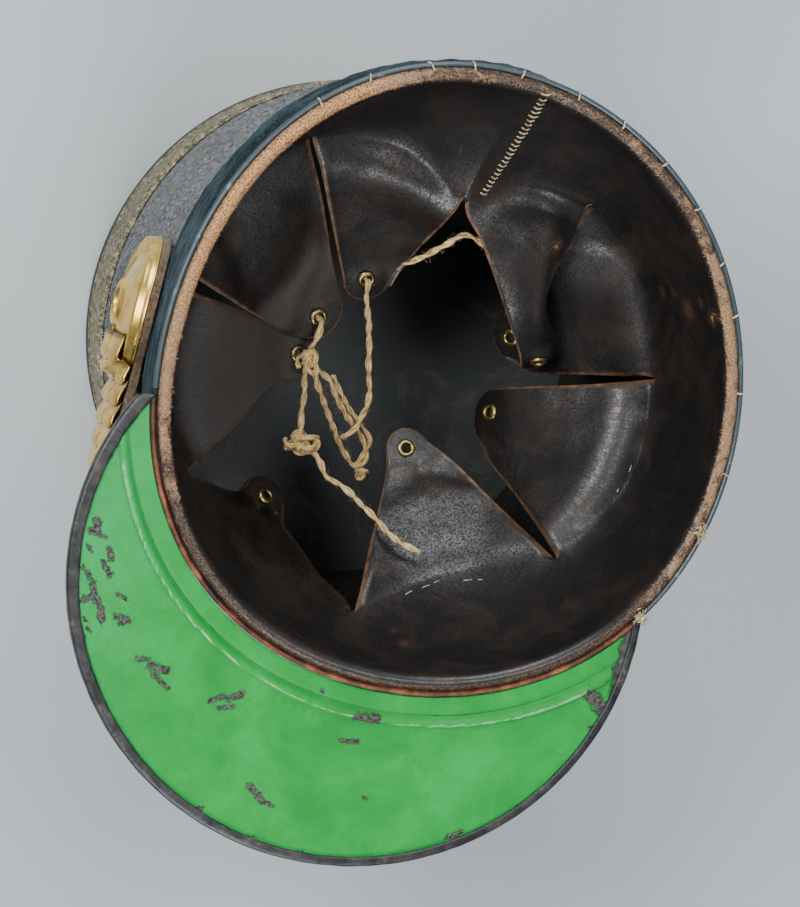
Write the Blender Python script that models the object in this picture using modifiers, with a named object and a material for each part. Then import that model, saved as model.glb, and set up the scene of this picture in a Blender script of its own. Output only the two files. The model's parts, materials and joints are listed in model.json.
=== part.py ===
"""A felt shako lying crown down, with its leather peak, tongued sweatband, draw string and
gilt chin scales. Metres, +Z up. The flat of the crown lies on z = 0 with its centre at the
origin, the peak points to -Y, and the wearer's left is -X. A turn is an angle round the
hat, in degrees, from the front (-Y) towards +X."""

import math

import bmesh
import bpy
from mathutils import Vector

# The felt body: a cone of slightly oval section, wider at the rim than at the crown
FELT_TOP = 0.1676
FELT_FOOT = 0.0028
FELT_THICKNESS = 0.0028
CROWN_HALF_WIDTH = 0.0874
CROWN_HALF_DEPTH = 0.0881
RIM_HALF_WIDTH = 0.0936
RIM_HALF_DEPTH = 0.0974
CROWN_DISC_THICKNESS, CROWN_DISC_ROUNDING = 0.0025, 0.0010
CLEARANCE = 0.0003
ROUND_STEPS = 51

# Columns: waves in one turn, their cosine size, their sine size, full at the rim
RIM_WAVES = (
    (2, 0.00000, 0.00115),
    (3, -0.00020, -0.00123),
    (4, -0.00050, -0.00046),
)

# Trim on the outside of the body
LACE_BOTTOM, LACE_TOP = 0.0016, 0.0310
LACE_THICKNESS, LACE_ROUNDING = 0.0011, 0.0005
BAND_BOTTOM, BAND_TOP, BAND_FRONT_TOP = 0.1340, 0.1668, 0.1652
BAND_FLAT = 0.0009
FOLD_DEPTH = 0.0022
# Columns: height above the band's bottom, share of the fold depth
BAND_FOLDS = (
    (0.0000, 0.0),
    (0.0035, 0.6),
    (0.0080, 0.0),
    (0.0130, 1.0),
    (0.0185, 0.0),
    (0.0245, 0.9),
)
# The folds lie flat under the rosettes and are shallower in front
PRESSED_TURN, PRESSED_REACH, PRESSED_SHARE = 82.0, 34.0, 0.9
FRONT_REACH, FRONT_SHARE, FRONT_RISE = 84.0, 0.6, 10.0
PIPING_RADIUS, PIPING_STAND_OFF, PIPING_HEIGHT = 0.00085, 0.0013, 0.1683
PIPING_SIDES, PIPING_STEPS = 6, 40
PIPING_END_GAP = 1.6
EDGE_OUT = 0.0026
# Columns: stand-off, height
EDGE_SECTION = (
    (CLEARANCE, 0.1656),
    (CLEARANCE, 0.1672),
    (0.0010, 0.1682),
    (0.0012, 0.1689),
    (0.0020, 0.1689),
    (EDGE_OUT, 0.1681),
    (EDGE_OUT, 0.1656),
)

# The peak is flat: its outer edge is nearly a circle whose centre lies in front
PEAK_END = 64.6
PEAK_STEPS = 24
PEAK_CENTRE = -0.0680
PEAK_HALF_WIDTH, PEAK_REACH = 0.0933, 0.0900
PEAK_HEIGHT = 0.1672
PEAK_THICKNESS = 0.0020
PEAK_STAND_OFF = EDGE_OUT + CLEARANCE
PEAK_BEAD_FADE = 0.0200
# Columns: distance from the body, share of the peak's depth it may reach, lift
PEAK_ROWS = (
    (0.0000, 0.00, 0.0000),
    (0.0060, 0.30, 0.0000),
    (0.0074, 0.42, 0.0007),
    (0.0090, 0.52, 0.0000),
    (1.0000, 1.00, 0.0000),
)
BINDING_WIDTH, BINDING_THICKNESS, BINDING_ROUNDING = 0.0033, 0.0007, 0.0006
BINDING_END, BINDING_STEPS = 61.0, 32

# Sweatband: a leather sheet, given here as its middle surface
LEATHER = 0.0012
# Columns: stand-off from the felt's outer face, height
LIP = (
    (0.00000, 0.16840),
    (-0.00090, 0.16915),
    (-0.00230, 0.16925),
    (-0.00370, 0.16800),
    (-0.00390, 0.15500),
)
# Columns: turn, distance from the axis, height
NOTCHES = (
    (10.0, 0.0815, 0.1240),
    (62.0, 0.0780, 0.1250),
    (112.5, 0.0810, 0.1220),
    (158.0, 0.0790, 0.1220),
    (191.0, 0.0565, 0.1320),
    (231.0, 0.0855, 0.1250),
    (274.0, 0.0810, 0.1250),
    (318.0, 0.0820, 0.1250),
)
# One row a tongue, each between a notch and the next.
# Columns: eyelet x, y and height, heading from +X, dip below level, rise of the belly
TONGUES = (
    (0.0165, -0.0250, 0.0900, 126.0, 8.0, 0.0060),
    (0.0385, -0.0020, 0.0890, 192.0, 60.0, 0.0075),
    (0.0356, 0.0240, 0.0830, 214.0, 48.0, 0.0010),
    (0.0410, 0.0205, 0.1040, 297.0, 60.0, 0.0080),
    (-0.0207, 0.0208, 0.0900, 297.0, 25.0, 0.0060),
    (-0.0299, 0.0023, 0.0900, 340.0, 12.0, 0.0030),
    (-0.0300, -0.0115, 0.0860, 22.0, 18.0, 0.0040),
    (-0.0178, -0.0598, 0.0790, 77.0, 42.0, -0.0020),
)
NOTCH_HALF_GAP = 0.45
FUNNEL_BULGE = 0.12
ROOT_BOW = 0.0035
BELLY_STEPS = (0.25, 0.5, 0.75)
BELLY_AT_SIDE = 0.45
TONGUE_COLUMNS = 5
EYELET_HOLE = 0.00225
# Columns: distance from the eyelet along the tongue, half width there
TONGUE_TIP = ((-0.0065, 0.0092), (-0.0010, 0.0074))
TIP_RADIUS = 0.0072
TIP_FIRST_ANGLE = 22.0

# Brass eyelets. Columns: radius, distance above the leather's middle
EYELET_PROFILE = (
    (0.00160, 0.00100),
    (0.00220, 0.00140),
    (0.00300, 0.00100),
    (0.00195, 0.00092),
    (0.00195, -0.00092),
    (0.00300, -0.00100),
    (0.00220, -0.00140),
    (0.00160, -0.00100),
)
EYELET_STEPS = 8

# Chin scales, whose two halves start behind the rosettes, close against the felt.
# Columns: turn, stand-off of the backing's inner face, height of its middle
STRAP_SEAT = (
    (98.0, 0.0020, 0.1240),
    (90.0, 0.0020, 0.1245),
    (82.0, 0.0020, 0.1250),
    (74.0, 0.0021, 0.1260),
    (67.0, 0.0026, 0.1270),
)
# Then they bow away from it to meet in front, above the peak.
# Columns: distance from the middle of the hat, distance ahead, height of the middle
STRAP_BOW = (
    (0.0846, 0.0480, 0.1285),
    (0.0828, 0.0600, 0.1310),
    (0.0786, 0.0750, 0.1345),
    (0.0705, 0.0910, 0.1385),
    (0.0565, 0.1065, 0.1425),
    (0.0370, 0.1180, 0.1455),
    (0.0170, 0.1232, 0.1470),
    (0.0000, 0.1245, 0.1472),
)
STRAP_LEAN = 0.04
SLOPE_STEP = 0.0015
STRAP_STEPS = 22
STRAP_END_SHARES = (0.02, 0.1, 0.25, 0.5, 0.75, 1.0)
ROSETTE_PLACE = 0.0325
ROSETTE_RADIUS = 0.0225
BACKING_THICKNESS = 0.0024
BACKING_BORDER = 0.0007
STRAP_HALF_WIDTH, STRAP_END_HALF_WIDTH = 0.0165, 0.0100
SCALE_COUNT = 18
SCALE_LOW, SCALE_HIGH, SCALE_STEP_AT = 0.0007, 0.0021, 0.96
SCALE_CROWN = 0.0016
LOBE_DEPTH = 0.0007
HALF_GAP = 0.0010
CLASP_ROOM = 0.0085
CLASP_RADIUS, CLASP_FACE_RADIUS, CLASP_THICKNESS = 0.0075, 0.0067, 0.0016
CLASP_CLEARANCE = 0.0005

# Columns: distance from the rosette's axis, height above its back
ROSETTE_PROFILE = (
    (0.0000, 0.0044),
    (0.0028, 0.0046),
    (0.0042, 0.0068),
    (0.0060, 0.0066),
    (0.0072, 0.0052),
    (0.0112, 0.0046),
    (0.0164, 0.0031),
    (0.0182, 0.0021),
    (0.0193, 0.0030),
    (0.0202, 0.0022),
    (0.0213, 0.0031),
    (0.0225, 0.0021),
    (0.0225, 0.0000),
    (0.0170, 0.0000),
    (0.0115, 0.0000),
    (0.0058, 0.0000),
    (0.0000, 0.0000),
)
ROSETTE_STEPS = 16

# The hemp string. Columns: x, y, height along each run
STRING_RADIUS = 0.00095
STRING_SPACING = 0.0054
STRING_RUN = (
    (0.0406, 0.0213, 0.1035),
    (0.0390, 0.0244, 0.1015),
    (0.0330, 0.0320, 0.0985),
    (0.0214, 0.0405, 0.0980),
    (0.0100, 0.0465, 0.1000),
    (0.0007, 0.0475, 0.1030),
    (-0.0042, 0.0406, 0.1000),
    (-0.0091, 0.0331, 0.0945),
    (-0.0150, 0.0275, 0.0885),
    (-0.0198, 0.0248, 0.0852),
    (-0.0212, 0.0218, 0.0877),
    (-0.0207, 0.0208, 0.0900),
    (-0.0202, 0.0198, 0.0924),
    (-0.0188, 0.0170, 0.0922),
    (-0.0171, 0.0137, 0.0894),
    (-0.0127, 0.0086, 0.0855),
    (-0.0079, 0.0012, 0.0820),
    (-0.0034, -0.0075, 0.0795),
    (-0.0004, -0.0125, 0.0790),
    (0.0006, -0.0171, 0.0800),
    (0.0004, -0.0214, 0.0815),
    (-0.0002, -0.0259, 0.0830),
    (-0.0022, -0.0310, 0.0803),
)
STRING_TIE = (
    (-0.0305, 0.0025, 0.0871),
    (-0.0299, 0.0023, 0.0900),
    (-0.0295, 0.0021, 0.0922),
    (-0.0288, 0.0005, 0.0942),
    (-0.0282, -0.0030, 0.0945),
    (-0.0282, -0.0083, 0.0932),
)
STRING_BOW = (
    (-0.0229, -0.0136, 0.0917),
    (-0.0173, -0.0151, 0.0895),
    (-0.0103, -0.0202, 0.0850),
    (-0.0040, -0.0238, 0.0810),
    (0.0025, -0.0269, 0.0775),
    (0.0077, -0.0305, 0.0750),
    (0.0099, -0.0354, 0.0735),
    (0.0076, -0.0379, 0.0735),
    (0.0027, -0.0357, 0.0750),
    (-0.0028, -0.0322, 0.0780),
    (-0.0093, -0.0271, 0.0820),
    (-0.0161, -0.0215, 0.0865),
    (-0.0229, -0.0159, 0.0914),
)
STRING_STRAND = (
    (-0.0262, -0.0163, 0.0911),
    (-0.0225, -0.0231, 0.0885),
    (-0.0205, -0.0292, 0.0880),
    (-0.0183, -0.0347, 0.0892),
)
STRING_TAIL = (
    (-0.0125, -0.0388, 0.0897),
    (-0.0085, -0.0411, 0.0905),
    (-0.0042, -0.0445, 0.0920),
    (0.0016, -0.0453, 0.0960),
    (0.0073, -0.0478, 0.1020),
    (0.0120, -0.0498, 0.1080),
    (0.0184, -0.0529, 0.1128),
    (0.0230, -0.0537, 0.1150),
    (0.0286, -0.0538, 0.1166),
)
# Columns: name, x, y, height, half length, half width, heading of the length from +X
KNOTS = (
    ("knot_tie", -0.0268, -0.0125, 0.0925, 0.0042, 0.0034, 300.0),
    ("knot_tail", -0.0169, -0.0378, 0.0895, 0.0056, 0.0030, 25.0),
    ("knot_end", 0.0110, -0.0391, 0.0715, 0.0022, 0.0018, 0.0),
)


def clear_scene():
    for thing in list(bpy.data.objects):
        bpy.data.objects.remove(thing, do_unlink=True)


def collection(name):
    made = bpy.data.collections.new(name)
    bpy.context.scene.collection.children.link(made)
    return made


def finish_of(name, colour, roughness, metallic=0.0):
    made = bpy.data.materials.new(name)
    made.use_nodes = True
    shader = made.node_tree.nodes["Principled BSDF"]
    shader.inputs["Base Color"].default_value = (*colour, 1.0)
    shader.inputs["Roughness"].default_value = roughness
    shader.inputs["Metallic"].default_value = metallic
    return made


def add_object(name, mesh, finish, where):
    made = bpy.data.objects.new(name, mesh)
    mesh.materials.append(finish)
    mesh.shade_smooth()
    mesh.set_sharp_from_angle(angle=math.radians(40))
    where.objects.link(made)
    return made


def mesh_of(name, shape):
    """The bmesh as a mesh whose faces point outwards."""
    shape.normal_update()
    bmesh.ops.recalc_face_normals(shape, faces=shape.faces[:])
    mesh = bpy.data.meshes.new(name)
    shape.to_mesh(mesh)
    shape.free()
    return mesh


def mix(first, last, share):
    return first + (last - first) * share


def felt_point(turn, height, stand_off):
    """A point at a stand-off from the felt's outer face."""
    angle = math.radians(turn)
    share = height / FELT_TOP
    for waves, cosine, sine in RIM_WAVES:
        wave = cosine * math.cos(waves * angle) + sine * math.sin(waves * angle)
        stand_off += wave * share
    across = mix(CROWN_HALF_WIDTH, RIM_HALF_WIDTH, share) + stand_off
    ahead = mix(CROWN_HALF_DEPTH, RIM_HALF_DEPTH, share) + stand_off
    return Vector((across * math.sin(angle), -ahead * math.cos(angle), height))


def loft(name, loops, joined):
    """A solid through closed loops of equal count, end to end or joined in a ring."""
    shape = bmesh.new()
    rings = []
    for loop in loops:
        rings.append([shape.verts.new(point) for point in loop])
    pairs = list(zip(rings, rings[1:]))
    if joined:
        pairs.append((rings[-1], rings[0]))
    for ring, following in pairs:
        for i in range(len(ring)):
            k = (i + 1) % len(ring)
            shape.faces.new((ring[i], ring[k], following[k], following[i]))
    if not joined:
        shape.faces.new(rings[0])
        shape.faces.new(rings[-1])
    return mesh_of(name, shape)


def hoop(name, section, first=0.0, last=360.0, steps=ROUND_STEPS):
    """A band round the body. section(turn) gives its stand-offs and heights."""
    whole = last - first >= 360.0
    turns = [mix(first, last, i / steps) for i in range(steps if whole else steps + 1)]
    loops = []
    for turn in turns:
        loops.append([felt_point(turn, height, off) for off, height in section(turn)])
    return loft(name, loops, whole)


def turned(name, profile, steps):
    """A solid of revolution about Z from a profile with both ends on the axis or a ring."""
    shape = bmesh.new()
    points = [shape.verts.new((radius, 0.0, height)) for radius, height in profile]
    edges = [shape.edges.new(pair) for pair in zip(points, points[1:])]
    if profile[0][0] > 0.0:
        edges.append(shape.edges.new((points[-1], points[0])))
    bmesh.ops.spin(
        shape,
        geom=points + edges,
        cent=(0, 0, 0),
        axis=(0, 0, 1),
        angle=math.tau,
        steps=steps,
        use_merge=True,
    )
    bmesh.ops.remove_doubles(shape, verts=shape.verts[:], dist=1e-6)
    return shape


def body_pieces(where):
    felt = finish_of("charcoal felt", (0.075, 0.08, 0.09), 0.95)
    disc = finish_of("crown leather", (0.02, 0.02, 0.022), 0.6)
    gold = finish_of("faded gold lace", (0.34, 0.28, 0.15), 0.6, 0.5)
    inner = -FELT_THICKNESS

    def wall(turn):
        return (
            (0.0, FELT_FOOT),
            (0.0, FELT_TOP),
            (inner, FELT_TOP),
            (inner, FELT_FOOT),
        )

    def lace(turn):
        out = CLEARANCE + LACE_THICKNESS
        return (
            (CLEARANCE, LACE_BOTTOM),
            (out, LACE_BOTTOM),
            (out, LACE_TOP - LACE_ROUNDING),
            (out - LACE_ROUNDING, LACE_TOP),
            (CLEARANCE, LACE_TOP),
        )

    add_object("crown_shell", hoop("crown_shell", wall), felt, where)
    add_object("top_lace", hoop("top_lace", lace), gold, where)
    profile = (
        (0.0, CROWN_DISC_THICKNESS),
        (CROWN_HALF_WIDTH, CROWN_DISC_THICKNESS),
        (CROWN_HALF_WIDTH, CROWN_DISC_ROUNDING),
        (CROWN_HALF_WIDTH - CROWN_DISC_ROUNDING, 0.0),
        (0.0, 0.0),
    )
    shape = turned("crown_top", profile, ROUND_STEPS)
    for point in shape.verts:
        point.co.y *= CROWN_HALF_DEPTH / CROWN_HALF_WIDTH
    add_object("crown_top", mesh_of("crown_top", shape), disc, where)


def turn_of(turn):
    """The same turn between -180 and 180."""
    return (turn + 180.0) % 360.0 - 180.0


def nearness(turn, centre, reach):
    """1 at the centre turn, falling smoothly to 0 at the reach."""
    share = max(0.0, 1.0 - abs(turn_of(turn - centre)) / reach)
    return share * share * (3.0 - 2.0 * share)


def trim_pieces(where):
    velvet = finish_of("dark velvet", (0.012, 0.03, 0.038), 0.8)
    gloss = finish_of("glossy piping", (0.02, 0.025, 0.03), 0.25)
    welt = finish_of("red-brown leather", (0.2, 0.06, 0.03), 0.5)

    def band(turn):
        pressed = nearness(abs(turn_of(turn)), PRESSED_TURN, PRESSED_REACH)
        front = min(1.0, FRONT_RISE * nearness(turn, 0.0, FRONT_REACH))
        fold = FOLD_DEPTH * (1.0 - PRESSED_SHARE * pressed) * (1.0 - FRONT_SHARE * front)
        top = mix(BAND_TOP, BAND_FRONT_TOP, front)
        flat = CLEARANCE + BAND_FLAT
        face = [(flat + share * fold, BAND_BOTTOM + height) for height, share in BAND_FOLDS]
        return [(CLEARANCE, BAND_BOTTOM)] + face + [(flat, top), (CLEARANCE, top)]

    def piping(turn):
        circle = []
        for i in range(PIPING_SIDES):
            angle = math.tau * i / PIPING_SIDES
            off = PIPING_STAND_OFF + PIPING_RADIUS * math.cos(angle)
            circle.append((off, PIPING_HEIGHT + PIPING_RADIUS * math.sin(angle)))
        return circle

    def edge(turn):
        return EDGE_SECTION

    add_object("lower_band", hoop("lower_band", band), velvet, where)
    end = PEAK_END + PIPING_END_GAP
    mesh = hoop("rim_piping", piping, end, 360.0 - end, PIPING_STEPS)
    add_object("rim_piping", mesh, gloss, where)
    mesh = hoop("body_edge", edge, -PEAK_END, PEAK_END, PEAK_STEPS)
    add_object("body_edge", mesh, welt, where)


def peak_outline(turn, inset=0.0):
    """Where a ray from the axis meets the peak's outer edge, less an inset."""
    angle = math.radians(turn)
    across = PEAK_HALF_WIDTH - inset
    ahead = PEAK_REACH - inset
    sine, cosine = math.sin(angle), math.cos(angle)
    square = (sine / across) ** 2 + (cosine / ahead) ** 2
    linear = PEAK_CENTRE * cosine / ahead**2
    constant = (PEAK_CENTRE / ahead) ** 2 - 1.0
    distance = (-linear + math.sqrt(linear**2 - square * constant)) / square
    return Vector((distance * sine, -distance * cosine, PEAK_HEIGHT))


def peak_pieces(where):
    green = finish_of("green peak leather", (0.045, 0.36, 0.13), 0.45)
    black = finish_of("black binding", (0.012, 0.012, 0.014), 0.3)
    shape = bmesh.new()
    lines = []
    for reach, most, lift in PEAK_ROWS:
        line = []
        for i in range(PEAK_STEPS + 1):
            turn = mix(-PEAK_END, PEAK_END, i / PEAK_STEPS)
            inner = felt_point(turn, PEAK_HEIGHT, PEAK_STAND_OFF)
            ray = math.degrees(math.atan2(inner.x, -inner.y))
            outer = peak_outline(ray, BINDING_THICKNESS + CLEARANCE)
            depth = (outer - inner).length
            point = inner.lerp(outer, min(most, reach / depth))
            rise = lift * min(1.0, depth / PEAK_BEAD_FADE)
            line.append(shape.verts.new(point + Vector((0, 0, rise))))
        lines.append(line)
    for line, following in zip(lines, lines[1:]):
        for i in range(len(line) - 1):
            shape.faces.new((line[i], line[i + 1], following[i + 1], following[i]))
    visor = add_object("visor", mesh_of("visor", shape), green, where)
    wall = visor.modifiers.new("thickness", "SOLIDIFY")
    wall.thickness = PEAK_THICKNESS
    wall.offset = 0.0

    half = PEAK_THICKNESS / 2 + CLEARANCE
    web = BINDING_THICKNESS
    # Columns: inset from the peak's outer edge, height from the peak's middle
    section = (
        (0.0, half + web - BINDING_ROUNDING),
        (BINDING_ROUNDING, half + web),
        (BINDING_WIDTH, half + web),
        (BINDING_WIDTH, half),
        (web, half),
        (web, -half),
        (BINDING_WIDTH, -half),
        (BINDING_WIDTH, -half - web),
        (BINDING_ROUNDING, -half - web),
        (0.0, BINDING_ROUNDING - half - web),
    )
    loops = []
    for i in range(BINDING_STEPS + 1):
        turn = mix(-BINDING_END, BINDING_END, i / BINDING_STEPS)
        loops.append([peak_outline(turn, inset) + Vector((0, 0, z)) for inset, z in section])
    add_object("visor_binding", loft("visor_binding", loops, False), black, where)


def around_axis(turn, radius, height):
    angle = math.radians(turn)
    return Vector((radius * math.sin(angle), -radius * math.cos(angle), height))


def tip_frame(tongue):
    """The eyelet's centre, the way the tip points, the way across it, and its normal."""
    x, y, height, heading, dip, _ = tongue
    level = Vector((math.cos(math.radians(heading)), math.sin(math.radians(heading)), 0))
    across = Vector((level.y, -level.x, 0.0))
    ahead = level * math.cos(math.radians(dip)) - Vector((0, 0, math.sin(math.radians(dip))))
    return Vector((x, y, height)), ahead, across, across.cross(ahead)


def tongue_root(index, share):
    """A point on the line between a tongue's two notches."""
    start, stop = NOTCHES[index], NOTCHES[(index + 1) % len(NOTCHES)]
    sweep = (stop[0] - start[0]) % 360.0 - 2.0 * NOTCH_HALF_GAP
    turn = start[0] + NOTCH_HALF_GAP + sweep * share
    bow = ROOT_BOW * math.sin(math.pi * share)
    radius = mix(start[1], stop[1], share) + bow
    return turn, around_axis(turn, radius, mix(start[2], stop[2], share) - 0.5 * bow)


def tongue_rows(index):
    """The rows of a tongue past its root, root to tip."""
    tongue = TONGUES[index]
    centre, ahead, across, _ = tip_frame(tongue)
    belly = tongue[5]
    shares = [i / TONGUE_COLUMNS for i in range(TONGUE_COLUMNS + 1)]
    plate = []
    for along, half_width in TONGUE_TIP:
        plate.append([centre + ahead * along + across * half_width * (2 * s - 1) for s in shares])
    rows = []
    for along in BELLY_STEPS:
        row = []
        for share, end in zip(shares, plate[0]):
            _, root = tongue_root(index, share)
            fullness = mix(BELLY_AT_SIDE, 1.0, math.sin(math.pi * share))
            rise = belly * math.sin(math.pi * along) * fullness
            row.append(root.lerp(end, along) + Vector((0, 0, rise)))
        rows.append(row)
    tip = []
    for share in shares:
        angle = math.radians(mix(TIP_FIRST_ANGLE, 180.0 - TIP_FIRST_ANGLE, share))
        tip.append(centre + TIP_RADIUS * (ahead * math.sin(angle) - across * math.cos(angle)))
    return rows + plate + [tip]


def sweatband(where, cutters):
    leather = finish_of("dark sweatband leather", (0.035, 0.024, 0.02), 0.45)
    shape = bmesh.new()
    columns = []
    for index in range(len(NOTCHES)):
        for i in range(TONGUE_COLUMNS + 1):
            turn, root = tongue_root(index, i / TONGUE_COLUMNS)
            line = [felt_point(turn, height, off) for off, height in LIP]
            hang = line[-1]
            middle = hang.lerp(root, 0.5)
            outward = Vector((middle.x, middle.y, 0.0)).normalized()
            line.append(middle + outward * FUNNEL_BULGE * (hang - root).xy.length)
            line.append(root)
            columns.append([shape.verts.new(point) for point in line])
    count = len(columns)
    for i in range(count):
        left, right = columns[i], columns[(i + 1) % count]
        for k in range(len(left) - 1):
            shape.faces.new((left[k], right[k], right[k + 1], left[k + 1]))
    step = TONGUE_COLUMNS + 1
    for index in range(len(TONGUES)):
        above = [column[-1] for column in columns[index * step:(index + 1) * step]]
        for row in tongue_rows(index):
            below = [shape.verts.new(point) for point in row]
            for i in range(TONGUE_COLUMNS):
                shape.faces.new((above[i], above[i + 1], below[i + 1], below[i]))
            above = below
    band = add_object("sweatband", mesh_of("sweatband", shape), leather, where)
    wall = band.modifiers.new("thickness", "SOLIDIFY")
    wall.thickness = LEATHER
    wall.offset = 0.0

    for index, tongue in enumerate(TONGUES):
        centre, _, _, normal = tip_frame(tongue)
        punch = bmesh.new()
        bmesh.ops.create_cone(
            punch,
            cap_ends=True,
            segments=EYELET_STEPS,
            radius1=EYELET_HOLE,
            radius2=EYELET_HOLE,
            depth=4 * LEATHER,
        )
        cutter = bpy.data.objects.new(f"punch_{index + 1}", mesh_of("punch", punch))
        cutter.rotation_mode = "QUATERNION"
        cutter.rotation_quaternion = Vector((0, 0, 1)).rotation_difference(normal)
        cutter.location = centre
        cutter.hide_render = True
        cutter.display_type = "WIRE"
        cutters.objects.link(cutter)
        hole = band.modifiers.new(f"eyelet hole {index + 1}", "BOOLEAN")
        hole.operation = "DIFFERENCE"
        hole.solver = "EXACT"
        hole.object = cutter


def eyelets(where):
    brass = finish_of("brass", (0.62, 0.48, 0.16), 0.3, 1.0)
    for index, tongue in enumerate(TONGUES):
        centre, _, _, normal = tip_frame(tongue)
        shape = turned("eyelet", EYELET_PROFILE, EYELET_STEPS)
        name = f"eyelet_{index + 1}"
        ring = add_object(name, mesh_of(name, shape), brass, where)
        ring.rotation_mode = "QUATERNION"
        ring.rotation_quaternion = Vector((0, 0, 1)).rotation_difference(normal)
        ring.location = centre


class Route:
    """A smooth curve through points, read by the distance along it."""

    def __init__(self, points):
        self.points = [Vector(point) for point in points]
        self.samples = []
        last = len(self.points) - 1
        for i in range(last):
            for k in range(16):
                self.samples.append(self.between(i, k / 16))
        self.samples.append(self.points[last])
        self.reached = [0.0]
        for one, two in zip(self.samples, self.samples[1:]):
            self.reached.append(self.reached[-1] + (two - one).length)
        self.length = self.reached[-1]

    def between(self, i, share):
        """Catmull-Rom between point i and the next."""
        last = len(self.points) - 1
        a, b = self.points[max(i - 1, 0)], self.points[i]
        c, d = self.points[i + 1], self.points[min(i + 2, last)]
        bend = 2 * b + (c - a) * share
        bend += (2 * a - 5 * b + 4 * c - d) * share**2
        bend += (3 * b - a - 3 * c + d) * share**3
        return bend / 2

    def at(self, distance):
        distance = min(max(distance, 0.0), self.length)
        for i in range(len(self.samples) - 1):
            if self.reached[i + 1] >= distance:
                span = self.reached[i + 1] - self.reached[i]
                share = (distance - self.reached[i]) / span if span else 0.0
                return self.samples[i].lerp(self.samples[i + 1], share)
        return self.samples[-1]

    def evenly(self, spacing):
        count = max(2, round(self.length / spacing))
        return [self.at(self.length * i / count) for i in range(count + 1)]


def strap_route(side):
    points = [felt_point(side * turn, height, off) for turn, off, height in STRAP_SEAT]
    points += [Vector((side * x, -ahead, height)) for x, ahead, height in STRAP_BOW]
    return Route(points)


def strap_point(route, distance, across, out):
    """A point on the chin strap: along it, up from its middle, and out from its inner face."""
    here = route.at(distance)
    ahead = route.at(distance + SLOPE_STEP) - route.at(distance - SLOPE_STEP)
    outward = Vector((ahead.y, -ahead.x, 0.0)).normalized()
    if outward.dot(here) < 0.0:
        outward = -outward
    return here + outward * (out + STRAP_LEAN * across) + Vector((0, 0, across))


def strap_half_width(route, distance):
    share = (distance - ROSETTE_PLACE) / (route.length - ROSETTE_PLACE)
    return mix(STRAP_HALF_WIDTH, STRAP_END_HALF_WIDTH, min(1.0, max(0.0, share)))


def chin_pieces(where):
    suede = finish_of("brown suede backing", (0.16, 0.1, 0.05), 0.9)
    gilt = finish_of("gilt", (0.8, 0.6, 0.2), 0.28, 1.0)
    for word, side in (("left", -1), ("right", 1)):
        route = strap_route(side)
        length = route.length - HALF_GAP
        first_scale = ROSETTE_PLACE + ROSETTE_RADIUS + CLEARANCE
        last_scale = length - CLASP_ROOM
        pitch = (last_scale - first_scale) / SCALE_COUNT

        def place(distance, across, out):
            return strap_point(route, distance, across, out)

        loops = []
        rear = ROSETTE_PLACE - ROSETTE_RADIUS - BACKING_BORDER
        stops = [rear + share * ROSETTE_RADIUS for share in STRAP_END_SHARES]
        middle = stops[-1]
        stops += [mix(middle, length, (i + 1) / STRAP_STEPS) for i in range(STRAP_STEPS)]
        for distance in stops:
            half = strap_half_width(route, distance) + BACKING_BORDER
            radius = ROSETTE_RADIUS + BACKING_BORDER
            from_centre = distance - ROSETTE_PLACE
            if abs(from_centre) < radius:
                round_half = math.sqrt(radius**2 - from_centre**2)
                half = round_half if from_centre < 0 else max(half, round_half)
            loops.append([
                place(distance, -half, 0.0),
                place(distance, -half, BACKING_THICKNESS),
                place(distance, half, BACKING_THICKNESS),
                place(distance, half, 0.0),
            ])
        name = f"strap_{word}"
        add_object(name, loft(name, loops, False), suede, where)

        base = BACKING_THICKNESS + CLEARANCE
        loops = []
        for index in range(SCALE_COUNT):
            for share, lift in ((0.0, SCALE_LOW), (SCALE_STEP_AT, SCALE_HIGH)):
                distance = first_scale + pitch * (index + share)
                half = strap_half_width(route, distance)
                loop = [place(distance, -half, base)]
                for k in range(-3, 4):
                    lobe = LOBE_DEPTH if k % 2 == 0 else 0.0
                    crown = SCALE_CROWN * (1.0 - (k / 3.0) ** 2)
                    out = base + lift + crown + LOBE_DEPTH - lobe
                    loop.append(place(distance, half * k / 3.0, out))
                loop.append(place(distance, half, base))
                loops.append(loop)
        name = f"scales_{word}"
        add_object(name, loft(name, loops, False), gilt, where)

        shape = turned("rosette", ROSETTE_PROFILE, ROSETTE_STEPS)
        for point in shape.verts:
            x, y, height = point.co
            point.co = place(ROSETTE_PLACE + x, y, base + height)
        name = f"rosette_{word}"
        add_object(name, mesh_of(name, shape), gilt, where)

    front = route.at(route.length)
    shape = bmesh.new()
    bmesh.ops.create_cone(
        shape,
        cap_ends=True,
        segments=ROSETTE_STEPS,
        radius1=CLASP_RADIUS,
        radius2=CLASP_FACE_RADIUS,
        depth=CLASP_THICKNESS,
    )
    clasp = add_object("strap_clasp", mesh_of("strap_clasp", shape), gilt, where)
    clasp.rotation_euler = (math.pi / 2, 0, 0)
    out = BACKING_THICKNESS + CLASP_CLEARANCE + CLASP_THICKNESS / 2
    clasp.location = (0, front.y - out, front.z)


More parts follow.
